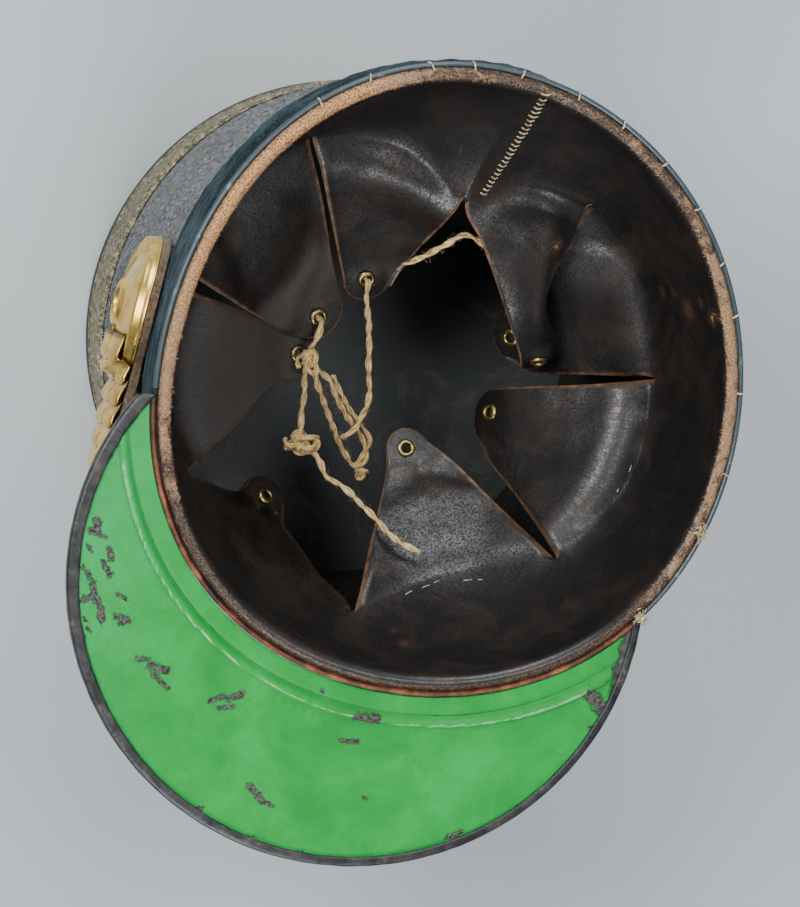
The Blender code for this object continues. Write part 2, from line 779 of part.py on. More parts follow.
def strings(where):
    hemp = finish_of("hemp", (0.42, 0.28, 0.13), 0.85)
    runs = (
        ("string_run", STRING_RUN),
        ("string_tie", STRING_TIE),
        ("string_bow", STRING_BOW),
        ("string_strand", STRING_STRAND),
        ("string_tail", STRING_TAIL),
    )
    for name, points in runs:
        curve = bpy.data.curves.new(name, "CURVE")
        curve.dimensions = "3D"
        curve.bevel_depth = STRING_RADIUS
        curve.bevel_resolution = 2
        curve.use_fill_caps = True
        line = curve.splines.new("POLY")
        stops = Route(points).evenly(STRING_SPACING)
        line.points.add(len(stops) - 1)
        for place, stop in zip(line.points, stops):
            place.co = (*stop, 1.0)
        curve.materials.append(hemp)
        where.objects.link(bpy.data.objects.new(name, curve))
    for name, x, y, height, half_length, half_width, heading in KNOTS:
        shape = bmesh.new()
        bmesh.ops.create_uvsphere(shape, u_segments=8, v_segments=6, radius=1.0)
        bmesh.ops.scale(shape, vec=(half_length, half_width, half_width), verts=shape.verts[:])
        knot = add_object(name, mesh_of(name, shape), hemp, where)
        knot.location = (x, y, height)
        knot.rotation_euler = (0, 0, math.radians(heading))


def build():
    clear_scene()
    hat = collection("shako")
    cutters = collection("cutters")
    body_pieces(hat)
    trim_pieces(hat)
    peak_pieces(hat)
    sweatband(hat, cutters)
    eyelets(hat)
    chin_pieces(hat)
    strings(hat)
    bpy.context.view_layer.update()


build()
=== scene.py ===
"""The looks of an old felt shako that lies crown down, so that its leather peak and the
tongues of its sweatband show. Metres, +Z up. The peak points to -Y, and the wearer's left
is -X. A turn is an angle round the hat, in degrees, from the front (-Y) towards +X."""

import json
import math
import random

import bmesh
import bpy
from mathutils import Matrix, Vector, noise
from mathutils.bvhtree import BVHTree
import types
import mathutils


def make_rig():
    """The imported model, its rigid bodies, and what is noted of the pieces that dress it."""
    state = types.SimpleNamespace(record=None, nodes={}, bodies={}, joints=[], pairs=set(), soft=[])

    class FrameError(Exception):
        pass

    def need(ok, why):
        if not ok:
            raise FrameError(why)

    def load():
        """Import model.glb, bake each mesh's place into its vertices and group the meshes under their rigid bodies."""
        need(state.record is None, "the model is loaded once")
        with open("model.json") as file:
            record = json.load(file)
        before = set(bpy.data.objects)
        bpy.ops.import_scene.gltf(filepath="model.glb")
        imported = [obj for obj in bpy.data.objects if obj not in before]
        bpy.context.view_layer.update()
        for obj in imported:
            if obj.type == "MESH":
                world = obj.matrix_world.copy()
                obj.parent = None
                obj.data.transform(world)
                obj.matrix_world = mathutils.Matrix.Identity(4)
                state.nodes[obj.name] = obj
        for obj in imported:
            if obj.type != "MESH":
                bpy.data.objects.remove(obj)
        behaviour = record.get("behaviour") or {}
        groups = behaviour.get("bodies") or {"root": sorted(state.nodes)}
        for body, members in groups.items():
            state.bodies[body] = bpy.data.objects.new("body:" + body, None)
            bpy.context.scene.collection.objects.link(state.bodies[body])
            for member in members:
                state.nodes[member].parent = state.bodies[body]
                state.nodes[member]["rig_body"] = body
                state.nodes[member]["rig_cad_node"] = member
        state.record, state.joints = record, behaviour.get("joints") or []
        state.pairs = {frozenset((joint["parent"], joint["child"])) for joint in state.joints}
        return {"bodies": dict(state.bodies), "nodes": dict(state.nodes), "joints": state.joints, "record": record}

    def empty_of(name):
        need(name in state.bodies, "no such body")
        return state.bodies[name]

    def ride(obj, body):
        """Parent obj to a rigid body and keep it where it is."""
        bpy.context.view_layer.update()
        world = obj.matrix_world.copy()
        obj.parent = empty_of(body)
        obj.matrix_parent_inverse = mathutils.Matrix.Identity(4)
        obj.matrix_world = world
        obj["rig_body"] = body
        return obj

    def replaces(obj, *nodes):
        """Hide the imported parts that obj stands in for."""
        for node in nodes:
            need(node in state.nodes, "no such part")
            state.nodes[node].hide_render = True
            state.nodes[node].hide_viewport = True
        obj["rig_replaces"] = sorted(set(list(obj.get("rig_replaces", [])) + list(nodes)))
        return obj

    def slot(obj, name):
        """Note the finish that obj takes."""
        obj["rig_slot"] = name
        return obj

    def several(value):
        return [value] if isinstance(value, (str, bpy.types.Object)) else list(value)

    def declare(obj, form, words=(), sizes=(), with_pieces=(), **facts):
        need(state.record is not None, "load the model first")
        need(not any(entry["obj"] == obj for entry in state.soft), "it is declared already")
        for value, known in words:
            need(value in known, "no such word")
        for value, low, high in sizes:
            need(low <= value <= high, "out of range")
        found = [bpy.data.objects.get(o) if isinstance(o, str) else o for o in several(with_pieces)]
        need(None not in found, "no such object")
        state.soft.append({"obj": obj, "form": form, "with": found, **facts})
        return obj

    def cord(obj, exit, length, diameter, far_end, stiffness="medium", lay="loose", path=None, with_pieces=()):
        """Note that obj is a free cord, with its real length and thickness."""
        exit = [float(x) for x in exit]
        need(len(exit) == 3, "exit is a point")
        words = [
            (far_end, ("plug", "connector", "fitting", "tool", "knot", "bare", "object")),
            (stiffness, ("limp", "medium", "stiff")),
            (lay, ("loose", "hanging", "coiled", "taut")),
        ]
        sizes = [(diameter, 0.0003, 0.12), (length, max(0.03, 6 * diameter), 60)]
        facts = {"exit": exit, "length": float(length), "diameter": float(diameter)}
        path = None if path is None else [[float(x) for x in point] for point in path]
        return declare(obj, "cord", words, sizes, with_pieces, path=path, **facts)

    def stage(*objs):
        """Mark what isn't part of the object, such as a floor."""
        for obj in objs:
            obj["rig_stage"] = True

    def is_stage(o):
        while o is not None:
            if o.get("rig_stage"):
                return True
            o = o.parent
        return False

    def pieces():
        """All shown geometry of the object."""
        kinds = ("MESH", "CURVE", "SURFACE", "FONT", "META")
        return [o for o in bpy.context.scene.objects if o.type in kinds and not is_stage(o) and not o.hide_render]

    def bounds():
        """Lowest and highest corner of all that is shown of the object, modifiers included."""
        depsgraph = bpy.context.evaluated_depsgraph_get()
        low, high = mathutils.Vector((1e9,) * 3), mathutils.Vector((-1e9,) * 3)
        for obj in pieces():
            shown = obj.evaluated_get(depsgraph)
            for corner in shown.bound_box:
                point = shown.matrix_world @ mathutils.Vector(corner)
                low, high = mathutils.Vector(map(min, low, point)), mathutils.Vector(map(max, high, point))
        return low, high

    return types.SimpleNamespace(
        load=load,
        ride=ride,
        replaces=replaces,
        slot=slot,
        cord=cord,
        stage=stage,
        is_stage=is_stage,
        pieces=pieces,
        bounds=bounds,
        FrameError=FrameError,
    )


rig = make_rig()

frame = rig.load()
cad_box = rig.bounds()

# Camera. It looks down into the hollow from over the wearer's left, through a long lens,
# and stands well above the floor.
LENS, SENSOR = 140.15, 36.0
camera_data = bpy.data.cameras.new("camera")
camera_data.lens = LENS
camera_data.sensor_width = SENSOR
camera_data.clip_start = 0.05
camera = bpy.data.objects.new("camera", camera_data)
to_right = Vector((0.87432715, 0.42285349, 0.2382162))
to_top = Vector((-0.403416, 0.90606493, -0.12767879))
to_eye = to_right.cross(to_top)
axes = Matrix((to_right, to_top, to_eye)).transposed().to_4x4()
camera.matrix_world = Matrix.Translation((-0.303356, -0.009018, 1.22765)) @ axes
bpy.context.scene.collection.objects.link(camera)
bpy.context.scene.camera = camera


# Studio: a pale floor, a soft dome of light, and four softboxes. Those at the left, front
# and back give the leather its long sheens, and the one overhead lights the tongues' flats.
def softbox(name, place, aim, size, watts, tint):
    light = bpy.data.lights.new(name, "AREA")
    light.shape = "SQUARE"
    light.size = size
    light.energy = watts
    light.color = tint
    lamp = bpy.data.objects.new(name, light)
    lamp.location = place
    lamp.rotation_mode = "QUATERNION"
    lamp.rotation_quaternion = (Vector(aim) - Vector(place)).to_track_quat("-Z", "Y")
    bpy.context.scene.collection.objects.link(lamp)


HAT_MIDDLE = (0.0, -0.02, 0.12)
softbox("left_box", (-1.05, 0.05, 1.38), HAT_MIDDLE, 0.60, 23.0, (1.0, 0.985, 0.96))
softbox("front_box", (0.25, -1.28, 1.22), HAT_MIDDLE, 0.62, 24.0, (0.95, 0.98, 1.0))
softbox("top_box", (0.19, 0.34, 1.75), HAT_MIDDLE, 0.50, 9.0, (0.97, 0.985, 1.0))
softbox("back_box", (-0.50, 1.25, 0.95), HAT_MIDDLE, 0.80, 19.0, (0.93, 0.97, 1.0))
world = bpy.data.worlds.new("studio")
world.use_nodes = True
background = world.node_tree.nodes["Background"]
background.inputs["Color"].default_value = (0.80, 0.86, 0.92, 1.0)
background.inputs["Strength"].default_value = 0.26
bpy.context.scene.world = world

shape = bmesh.new()
bmesh.ops.create_grid(shape, x_segments=1, y_segments=1, size=2.5)
floor_mesh = bpy.data.meshes.new("floor")
shape.to_mesh(floor_mesh)
shape.free()
floor = bpy.data.objects.new("floor", floor_mesh)
floor_finish = bpy.data.materials.new("pale studio floor")
floor_finish.use_nodes = True
floor_shader = floor_finish.node_tree.nodes["Principled BSDF"]
floor_shader.inputs["Base Color"].default_value = (0.42, 0.45, 0.47, 1.0)
floor_shader.inputs["Roughness"].default_value = 0.85
floor_mesh.materials.append(floor_finish)
bpy.context.scene.collection.objects.link(floor)
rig.stage(floor)


# Hemp string. One length runs from a rear eyelet through the next and down to the bow, the
# bow is a second loop out of the knot, and the third length ends frayed on the front tongue.
# Each is two loose plies with a long twist, as on the real string.
class Tone:
    """A shader value whose arithmetic adds Math nodes."""

    def __init__(self, paint, socket):
        self.paint = paint
        self.socket = socket

    def maths(self, operation, *values):
        return self.paint.node("ShaderNodeMath", {"operation": operation}, *values)

    def __add__(self, other):
        return self.maths("ADD", self, other)

    def __sub__(self, other):
        return self.maths("SUBTRACT", self, other)

    def __rsub__(self, other):
        return self.maths("SUBTRACT", other, self)

    def __mul__(self, other):
        return self.maths("MULTIPLY", self, other)

    def over(self, low, high):
        """0 at low and 1 at high, with a smooth step between."""
        settings = {"interpolation_type": "SMOOTHSTEP"}
        return self.paint.node("ShaderNodeMapRange", settings, self, low, high)

    def largest(self, other):
        return self.maths("MAXIMUM", self, other)

    __radd__ = __add__
    __rmul__ = __mul__


class Paint:
    """A material with one Principled shader."""

    def __init__(self, name):
        self.material = bpy.data.materials.new(name)
        self.material.use_nodes = True
        self.tree = self.material.node_tree
        self.shader = self.tree.nodes["Principled BSDF"]

    def fill(self, socket, value):
        if isinstance(value, Tone):
            self.tree.links.new(value.socket, socket)
        elif value is not None:
            wide = hasattr(value, "__len__") and len(value) == 3 and socket.type == "RGBA"
            socket.default_value = (*value, 1.0) if wide else value

    def node(self, kind, settings, *values, out=0, **named):
        """Adds a node: first its settings, then its sockets in order or by name."""
        made = self.tree.nodes.new(kind)
        for key, value in settings.items():
            if key == "stops":
                band = made.color_ramp.elements
                while len(band) < len(value):
                    band.new(1.0)
                for stop, (at, colour) in zip(band, value):
                    stop.position = at
                    stop.color = (*colour, 1.0)
            else:
                setattr(made, key, value)
        for socket, value in zip(made.inputs, values):
            self.fill(socket, value)
        for key, value in named.items():
            self.fill(made.inputs[key], value)
        return Tone(self, made.outputs[out])

    def where(self, stretch=(1.0, 1.0, 1.0), turn=(0.0, 0.0, 0.0)):
        """Object coordinates, stretched."""
        source = self.node("ShaderNodeTexCoord", {}, out=3)
        return self.node("ShaderNodeMapping", {}, source, None, turn, stretch)

    def along(self, stretch=(1.0, 1.0, 1.0)):
        """The piece's own UV, in metres."""
        source = self.node("ShaderNodeTexCoord", {}, out=2)
        return self.node("ShaderNodeMapping", {}, source, None, None, stretch)

    def mark(self, name):
        return self.node("ShaderNodeAttribute", {"attribute_name": name}, out=2)

    def clouds(self, size, at=None, detail=4.0, rough=0.6, warp=0.0):
        at = self.where() if at is None else at
        named = {"Scale": 1.0 / size, "Detail": detail, "Roughness": rough, "Distortion": warp}
        return self.node("ShaderNodeTexNoise", {}, at, **named)

    def blend(self, share, first, second):
        values = (share, None, None, None, None, None, first, second)
        return self.node("ShaderNodeMix", {"data_type": "RGBA"}, *values, out=2)

    def ramp(self, value, *stops):
        return self.node("ShaderNodeValToRGB", {"stops": stops}, value)

    def coats(self, colour, *layers):
        """A colour below layers, each given as its share and its own colour."""
        for share, coat in layers:
            colour = self.blend(share, colour, coat)
        return colour

    def bump(self, height, distance, strength):
        named = {"Strength": strength, "Distance": distance, "Height": height}
        return self.node("ShaderNodeBump", {}, **named)

    def wear(self, **sockets):
        """Sets the shader's sockets, with _ for a space in their names."""
        for key, value in sockets.items():
            self.fill(self.shader.inputs[key.replace("_", " ")], value)


def skin(shape, columns, rows, place, size, **marks):
    """Adds a grid whose corner (u, v) stands at place(u, v), with its UV in metres. Each
    mark is a value for every corner, or gives it from u and v."""
    uv = shape.loops.layers.uv.verify()
    layers = {}
    for name in marks:
        layers[name] = shape.verts.layers.float.get(name) or shape.verts.layers.float.new(name)
    made = bmesh.ops.create_grid(shape, x_segments=columns, y_segments=rows, size=0.5)["verts"]
    for face in {face for vert in made for face in vert.link_faces}:
        for loop in face.loops:
            across, along = loop.vert.co.x + 0.5, loop.vert.co.y + 0.5
            loop[uv].uv = (across * size[0], along * size[1])
    for vert in made:
        across, along = vert.co.x + 0.5, vert.co.y + 0.5
        for name, mark in marks.items():
            vert[layers[name]] = mark(across, along) if callable(mark) else mark
        vert.co = place(across, along)
    return made


WELD = 1e-6


def piece(name, shape, paint, slot, *nodes, wall=0.0):
    """Turns the finished shape into a piece that rides with the hat."""
    bmesh.ops.remove_doubles(shape, verts=shape.verts[:], dist=WELD)
    bmesh.ops.recalc_face_normals(shape, faces=shape.faces[:])
    mesh = bpy.data.meshes.new(name)
    shape.to_mesh(mesh)
    shape.free()
    mesh.shade_smooth()
    made = bpy.data.objects.new(name, mesh)
    mesh.materials.append(paint.material)
    bpy.context.scene.collection.objects.link(made)
    if wall:
        thick = made.modifiers.new("wall", "SOLIDIFY")
        thick.thickness = wall
        thick.offset = 0.0
        thick.use_even_offset = False
    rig.ride(made, "root")
    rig.slot(made, slot)
    if nodes:
        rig.replaces(made, *nodes)
    return made


class Route:
    """A smooth curve through points, read by the distance along it."""

    def __init__(self, points, steps=16):
        self.points = [Vector(point) for point in points]
        self.samples = []
        last = len(self.points) - 1
        for i in range(last):
            for k in range(steps):
                self.samples.append(self.between(i, k / steps))
        self.samples.append(self.points[last])
        self.reached = [0.0]
        for one, two in zip(self.samples, self.samples[1:]):
            self.reached.append(self.reached[-1] + (two - one).length)
        self.length = self.reached[-1]

    def between(self, i, share):
        last = len(self.points) - 1
        a, b = self.points[max(i - 1, 0)], self.points[i]
        c, d = self.points[i + 1], self.points[min(i + 2, last)]
        bend = 2 * b + (c - a) * share
        bend += (2 * a - 5 * b + 4 * c - d) * share**2
        bend += (3 * b - a - 3 * c + d) * share**3
        return bend / 2

    def at(self, distance):
        distance = min(max(distance, 0.0), self.length)
        low, high = 0, len(self.samples) - 1
        while high - low > 1:
            middle = (low + high) // 2
            if self.reached[middle] > distance:
                high = middle
            else:
                low = middle
        span = self.reached[high] - self.reached[low]
        share = (distance - self.reached[low]) / span if span else 0.0
        return self.samples[low].lerp(self.samples[high], share)

    def evenly(self, spacing):
        count = max(2, round(self.length / spacing))
        return [self.at(self.length * i / count) for i in range(count + 1)]


def sides_of(line):
    """For each point of a line, two directions across it that turn as little as they can."""
    across = []
    side = Vector((0.31, 0.52, 0.79))
    for i in range(len(line)):
        ahead = (line[min(i + 1, len(line) - 1)] - line[max(i - 1, 0)]).normalized()
        side = (side - ahead * side.dot(ahead)).normalized()
        across.append((side, ahead.cross(side)))
    return across


def tube(shape, line, radius, sides, swell=None):
    """A closed tube along a line. swell(share) scales its radius."""
    across = sides_of(line)
    last = len(line) - 1

    def place(u, v):
        i = round(v * last)
        reach = radius * (swell(v) if swell else 1.0)
        one, two = across[i]
        angle = math.tau * u
        return line[i] + (one * math.cos(angle) + two * math.sin(angle)) * reach

    made = skin(shape, sides, last, place, (math.tau * radius, last * 0.001))
    bmesh.ops.remove_doubles(shape, verts=made, dist=1e-7)
    made = [vert for vert in made if vert.is_valid]
    ends = [edge for vert in made for edge in vert.link_edges if edge.is_boundary]
    bmesh.ops.holes_fill(shape, edges=list(set(ends)), sides=0)


# The string's radius, its plies and how far one turn of them reaches, in metres
STRING_RADIUS = 0.00095
PLIES, PLY_RADIUS, PLY_OFFSET, PLY_PITCH = 2, 0.00060, 0.00050, 0.0125
STRING_STEP = 0.0007


def laid_up(shape, points, seed, radius=1.0):
    """Loosely twisted plies along a route, each a little uneven."""
    line = Route(points).evenly(STRING_STEP)
    across = sides_of(line)
    for ply in range(PLIES):
        strand = []
        for i, (here, (one, two)) in enumerate(zip(line, across)):
            wander = 1.8 * noise.noise(Vector((seed, ply * 7.0, i * 0.05)))
            turn = math.tau * (i * STRING_STEP / PLY_PITCH + ply / PLIES) + wander
            offset = PLY_OFFSET * radius * (1.0 + 0.35 * noise.noise(Vector((i * 0.11, seed, 3.0))))
            strand.append(here + (one * math.cos(turn) + two * math.sin(turn)) * offset)

        def swell(share, ply=ply, count=len(line)):
            uneven = noise.noise(Vector((share * count * 0.09, ply * 3.1, seed)))
            return 1.0 + 0.55 * uneven

        tube(shape, strand, PLY_RADIUS * radius, 8, swell)
    return line


def fibres(shape, line, seed, per_metre, reach):
    """Loose hemp fibres that stand off a string."""
    draw = random.Random(seed)
    across = sides_of(line)
    for _ in range(int(per_metre * len(line) * STRING_STEP)):
        i = draw.randrange(2, len(line) - 2)
        one, two = across[i]
        ahead = (line[i + 1] - line[i - 1]).normalized()
        turn = draw.uniform(0.0, math.tau)
        out = one * math.cos(turn) + two * math.sin(turn)
        root = line[i] + out * STRING_RADIUS * 0.7
        lean = ahead * draw.uniform(-1.2, 1.2) + out * draw.uniform(0.4, 1.0)
        tip = root + lean.normalized() * draw.uniform(0.3, 1.0) * reach
        bend = (root + tip) / 2 + out * draw.uniform(0.0, 0.25) * reach
        tube(shape, [root, bend, tip], 0.00005, 3)


hemp = Paint("hemp")
strands = hemp.clouds(1.0, hemp.along((2600.0, 260.0, 1.0)), detail=3.0, rough=0.6, warp=0.4)
patches = hemp.clouds(0.009, detail=2.0)
hemp_colour = hemp.ramp(
    strands, (0.34, (0.100, 0.050, 0.014)), (0.48, (0.60, 0.39, 0.140)), (0.62, (0.96, 0.71, 0.310))
)
hemp_colour = hemp.blend(patches.over(0.55, 0.75) * 0.45, hemp_colour, (0.20, 0.10, 0.038))
hemp.wear(
    Base_Color=hemp_colour,
    Roughness=0.82,
    Sheen_Weight=0.25,
    Sheen_Roughness=0.5,
    Normal=hemp.bump(strands, 0.0003, 0.8),
)

STRING_LEAD = (
    (0.0406, 0.0213, 0.1035), (0.0390, 0.0244, 0.1015), (0.0330, 0.0320, 0.0985),
    (0.0214, 0.0405, 0.0980), (0.0100, 0.0465, 0.1000), (0.0007, 0.0475, 0.1030),
    (-0.0042, 0.0406, 0.1000), (-0.0091, 0.0331, 0.0945), (-0.0150, 0.0275, 0.0885),
    (-0.0198, 0.0248, 0.0852), (-0.0212, 0.0218, 0.0877), (-0.0207, 0.0208, 0.0900),
    (-0.0202, 0.0198, 0.0924), (-0.0188, 0.0170, 0.0922), (-0.0171, 0.0137, 0.0894),
    (-0.0127, 0.0086, 0.0855), (-0.0079, 0.0012, 0.0820), (-0.0034, -0.0075, 0.0795),
    (-0.0004, -0.0125, 0.0790), (0.0006, -0.0171, 0.0800), (0.0004, -0.0214, 0.0815),
    (-0.0002, -0.0259, 0.0830), (-0.0022, -0.0310, 0.0803),
)
STRING_BOW = (
    (-0.0229, -0.0136, 0.0917), (-0.0173, -0.0151, 0.0895), (-0.0103, -0.0202, 0.0850),
    (-0.0040, -0.0238, 0.0810), (0.0025, -0.0269, 0.0775), (0.0077, -0.0305, 0.0750),
    (0.0099, -0.0354, 0.0735), (0.0076, -0.0379, 0.0735), (0.0027, -0.0357, 0.0750),
    (-0.0028, -0.0322, 0.0780), (-0.0093, -0.0271, 0.0820), (-0.0161, -0.0215, 0.0865),
    (-0.0229, -0.0159, 0.0914),
)
# From the left-hand eyelet through both knots to the frayed end
STRING_TAIL = (
    (-0.0305, 0.0025, 0.0871), (-0.0299, 0.0023, 0.0900), (-0.0295, 0.0021, 0.0922),
    (-0.0288, 0.0005, 0.0942), (-0.0282, -0.0030, 0.0945), (-0.0282, -0.0083, 0.0932),
    (-0.0268, -0.0125, 0.0925), (-0.0262, -0.0163, 0.0911), (-0.0225, -0.0231, 0.0885),
    (-0.0205, -0.0292, 0.0880), (-0.0183, -0.0347, 0.0892), (-0.0169, -0.0378, 0.0895),
    (-0.0125, -0.0388, 0.0897), (-0.0085, -0.0411, 0.0905), (-0.0042, -0.0445, 0.0920),
    (0.0016, -0.0453, 0.0960), (0.0073, -0.0478, 0.1020), (0.0120, -0.0498, 0.1080),
    (0.0184, -0.0529, 0.1128), (0.0230, -0.0537, 0.1150), (0.0286, -0.0538, 0.1166),
)


def knot(shape, centre, length, width, heading, seed, rolls):
    """A tight knot: overhand loops of the string, each rolled on from the last."""
    centre = Vector(centre)
    for roll in range(rolls):
        spin = Matrix.Rotation(math.radians(heading), 3, "Z")
        spin = spin @ Matrix.Rotation(math.radians(65.0 * roll + 20.0), 3, "X")
        points = []
        for i in range(34):
            turn = math.tau * i / 36.0 + seed
            x = (math.sin(turn) + 2.0 * math.sin(2.0 * turn)) / 3.0
            y = (math.cos(turn) - 2.0 * math.cos(2.0 * turn)) / 3.0
            z = -math.sin(3.0 * turn) / 2.2
            reach = 1.0 + 0.18 * noise.noise(Vector((i * 0.3, seed, roll)))
            out = Vector((x * (length - 0.0009), y * (width - 0.0005), z * (width - 0.0007)))
            points.append(centre + spin @ out * reach)
        laid_up(shape, points, seed + roll, radius=0.90)


def string(word, points, seed, *nodes):
    """One length of the string as a piece, and the line it is laid along."""
    shape = bmesh.new()
    line = laid_up(shape, points, seed)
    return piece(f"hemp_{word}", shape, hemp, "hemp", *nodes), line


def knot_piece(word, *form):
    shape = bmesh.new()
    knot(shape, *form)
    return piece(f"hemp_knot_{word}", shape, hemp, "hemp", f"knot_{word}")


string_lead, lead_line = string("lead", STRING_LEAD, 1.0, "string_run")
string_bow, bow_line = string("bow", STRING_BOW, 2.0, "string_bow")
string_tail, tail_line = string(
    "tail", STRING_TAIL, 3.0, "string_tie", "string_strand", "string_tail"
)
knot_tie = knot_piece("tie", (-0.0268, -0.0125, 0.0925), 0.0052, 0.0044, 300.0, 4.0, 2)
knot_tail = knot_piece("tail", (-0.0169, -0.0378, 0.0895), 0.0066, 0.0044, 25.0, 5.3, 3)
knot_end = knot_piece("end", (0.0110, -0.0391, 0.0718), 0.0028, 0.0025, 10.0, 6.1, 1)

shape = bmesh.new()
beside = [(x + 0.0006, y + 0.0020, z + 0.0006) for x, y, z in STRING_BOW[1:6]]
laid_up(shape, beside + [STRING_BOW[7]], 7.0, radius=0.85)
bow_double = piece("hemp_bow_double", shape, hemp, "hemp")
loose = []
for word, line, seed in (("lead", lead_line, 11), ("bow", bow_line, 12), ("tail", tail_line, 13)):
    shape = bmesh.new()
    fibres(shape, line, seed, 1100, 0.0026)
    loose.append(piece(f"hemp_fibres_{word}", shape, hemp, "hemp"))

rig.cord(
    string_lead,
    exit=STRING_LEAD[0],
    length=0.160,
    diameter=2 * STRING_RADIUS,
    far_end="object",
    stiffness="limp",
    lay="taut",
    path=lead_line,
    with_pieces=[loose[0]],
)
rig.cord(
    string_bow,
    exit=STRING_BOW[0],
    length=0.090,
    diameter=2 * STRING_RADIUS,
    far_end="knot",
    stiffness="limp",
    lay="loose",
    path=bow_line,
    with_pieces=[knot_end, bow_double, loose[1]],
)
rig.cord(
    string_tail,
    exit=STRING_TAIL[0],
    length=0.106,
    diameter=2 * STRING_RADIUS,
    far_end="bare",
    stiffness="limp",
    lay="loose",
    path=tail_line,
    with_pieces=[knot_tie, knot_tail, loose[2]],
)


# Felt body. Thick fulled wool, charcoal and a little greenish; its inner face is painted near black
# as the shade inside the hat. Its nap is worn and lifts into short fuzz, and the wall is gently
# dented.
FELT_TOP, FELT_FOOT = 0.1676, 0.0028
CROWN_HALF_WIDTH, CROWN_HALF_DEPTH = 0.0874, 0.0881
RIM_HALF_WIDTH, RIM_HALF_DEPTH = 0.0936, 0.0974
# One degree of the rim in metres, for the UVs
METRES_A_DEGREE = 0.00165


def mix(first, last, share):
    return first + (last - first) * share


def clamp(value):
    return min(1.0, max(0.0, value))


def profile(section, steps=6):
    """A section as a route. Its columns are the stand-off or radius, and the height."""
    return Route([(off, 0.0, height) for off, height in section], steps)


def close_up(shape):
    """Welds the edges of a skin that meet, and fills its open ends."""
    bmesh.ops.remove_doubles(shape, verts=shape.verts[:], dist=WELD)
    ends = [edge for edge in shape.edges if edge.is_boundary]
    bmesh.ops.holes_fill(shape, edges=ends, sides=0)


def felt_point(turn, height, stand_off):
    """A point at a stand-off from the felt's outer face."""
    angle = math.radians(turn)
    share = height / FELT_TOP
    for waves, cosine, sine in ((2, 0.0, 0.00115), (3, -0.0002, -0.00123), (4, -0.0005, -0.00046)):
        stand_off += (cosine * math.cos(waves * angle) + sine * math.sin(waves * angle)) * share
    across = mix(CROWN_HALF_WIDTH, RIM_HALF_WIDTH, share) + stand_off
    ahead = mix(CROWN_HALF_DEPTH, RIM_HALF_DEPTH, share) + stand_off
    return Vector((across * math.sin(angle), -ahead * math.cos(angle), height))


def dent(turn, height):
    """How far the felt's outer face is pushed out of its even cone."""
    at = Vector((math.sin(math.radians(turn)), math.cos(math.radians(turn)), height * 9.0))
    free = clamp((height - 0.030) / 0.02) * clamp((0.134 - height) / 0.02)
    return free * (0.0010 * noise.noise(at * 1.7) + 0.0004 * noise.noise(at * 6.0))


def hoop(section, columns, rows, first=0.0, last=360.0, bend=None, **marks):
    """The shape of a band round the body. bend(turn, off, height) moves its even section."""
    shape = bmesh.new()
    line = profile(section)

    def place(u, v):
        turn = mix(first, last, u)
        here = line.at(line.length * v)
        off, height = here.x, here.z
        if bend:
            off, height = bend(turn, off, height)
        return felt_point(turn, height, off)

    size = (METRES_A_DEGREE * (last - first), line.length)
    skin(shape, columns, rows, place, size, **marks)
    if last - first < 360.0:
        close_up(shape)
    return shape


def felt_bend(turn, off, height):
    return off + dent(turn, height) * (1.0 if off > -0.001 else 0.0), height


felt = Paint("charcoal felt")
wool = felt.clouds(0.0016, detail=8.0, rough=0.75)
tufts = felt.clouds(0.010, detail=3.0, rough=0.6, warp=0.8)
stains = felt.clouds(0.055, detail=4.0, rough=0.55)
felt_colour = felt.ramp(
    wool, (0.37, (0.018, 0.021, 0.023)), (0.50, (0.130, 0.138, 0.144)), (0.63, (0.48, 0.49, 0.495))
)
felt.wear(
    Base_Color=felt.coats(
        felt_colour,
        (tufts.over(0.45, 0.66) * 0.45, (0.25, 0.257, 0.26)),
        (stains.over(0.50, 0.64) * 0.50, (0.060, 0.060, 0.056)),
        # Painted shade: the felt's inner face near black
        (felt.mark("inside"), (0.0045, 0.0055, 0.0055)),
    ),
    Roughness=0.95,
    Specular_IOR_Level=0.1,
    Sheen_Weight=0.10,
    Sheen_Roughness=0.5,
    Normal=felt.bump(wool + tufts * 1.6, 0.0018, 1.0),
)
WALL = (
    (0.0, FELT_FOOT), (0.0, 0.05), (0.0, 0.10), (0.0, 0.15), (-0.0001, 0.1672),
    (-0.0008, FELT_TOP), (-0.0020, FELT_TOP), (-0.0027, 0.1672), (-0.0028, 0.15),
    (-0.0028, 0.10), (-0.0028, 0.05), (-0.0027, 0.0031), (-0.0014, FELT_FOOT),
    (0.0, FELT_FOOT),
)
WALL_LINE = profile(WALL)


# 1 on the felt's inner face, which is painted near black as shade
def painted_shade_inside(u, v):
    return 1.0 if WALL_LINE.at(WALL_LINE.length * v).x < -0.0012 else 0.0


shape = hoop(WALL, 240, 120, bend=felt_bend, inside=painted_shade_inside)
piece("felt_body", shape, felt, "felt", "crown_shell")


def hairs(count, root_of, width, seed):
    """The shape of separate short fibres. root_of(draw) gives a fibre's root and its tip."""
    shape = bmesh.new()
    draw = random.Random(seed)
    bmesh.ops.create_grid(shape, x_segments=count, y_segments=1, size=0.5)
    inner = [edge for edge in shape.edges if not edge.is_boundary]
    bmesh.ops.split_edges(shape, edges=inner)
    for face in shape.faces:
        root, tip = root_of(draw)
        side = (tip - root).cross(Vector((0.3, 0.2, 1.0))).normalized() * width
        for loop in face.loops:
            vert = loop.vert
            if vert.co.y > 0.0:
                vert.co = tip
            else:
                vert.co = root + (side if vert.co.x > face.calc_center_median().x else -side)
    return shape


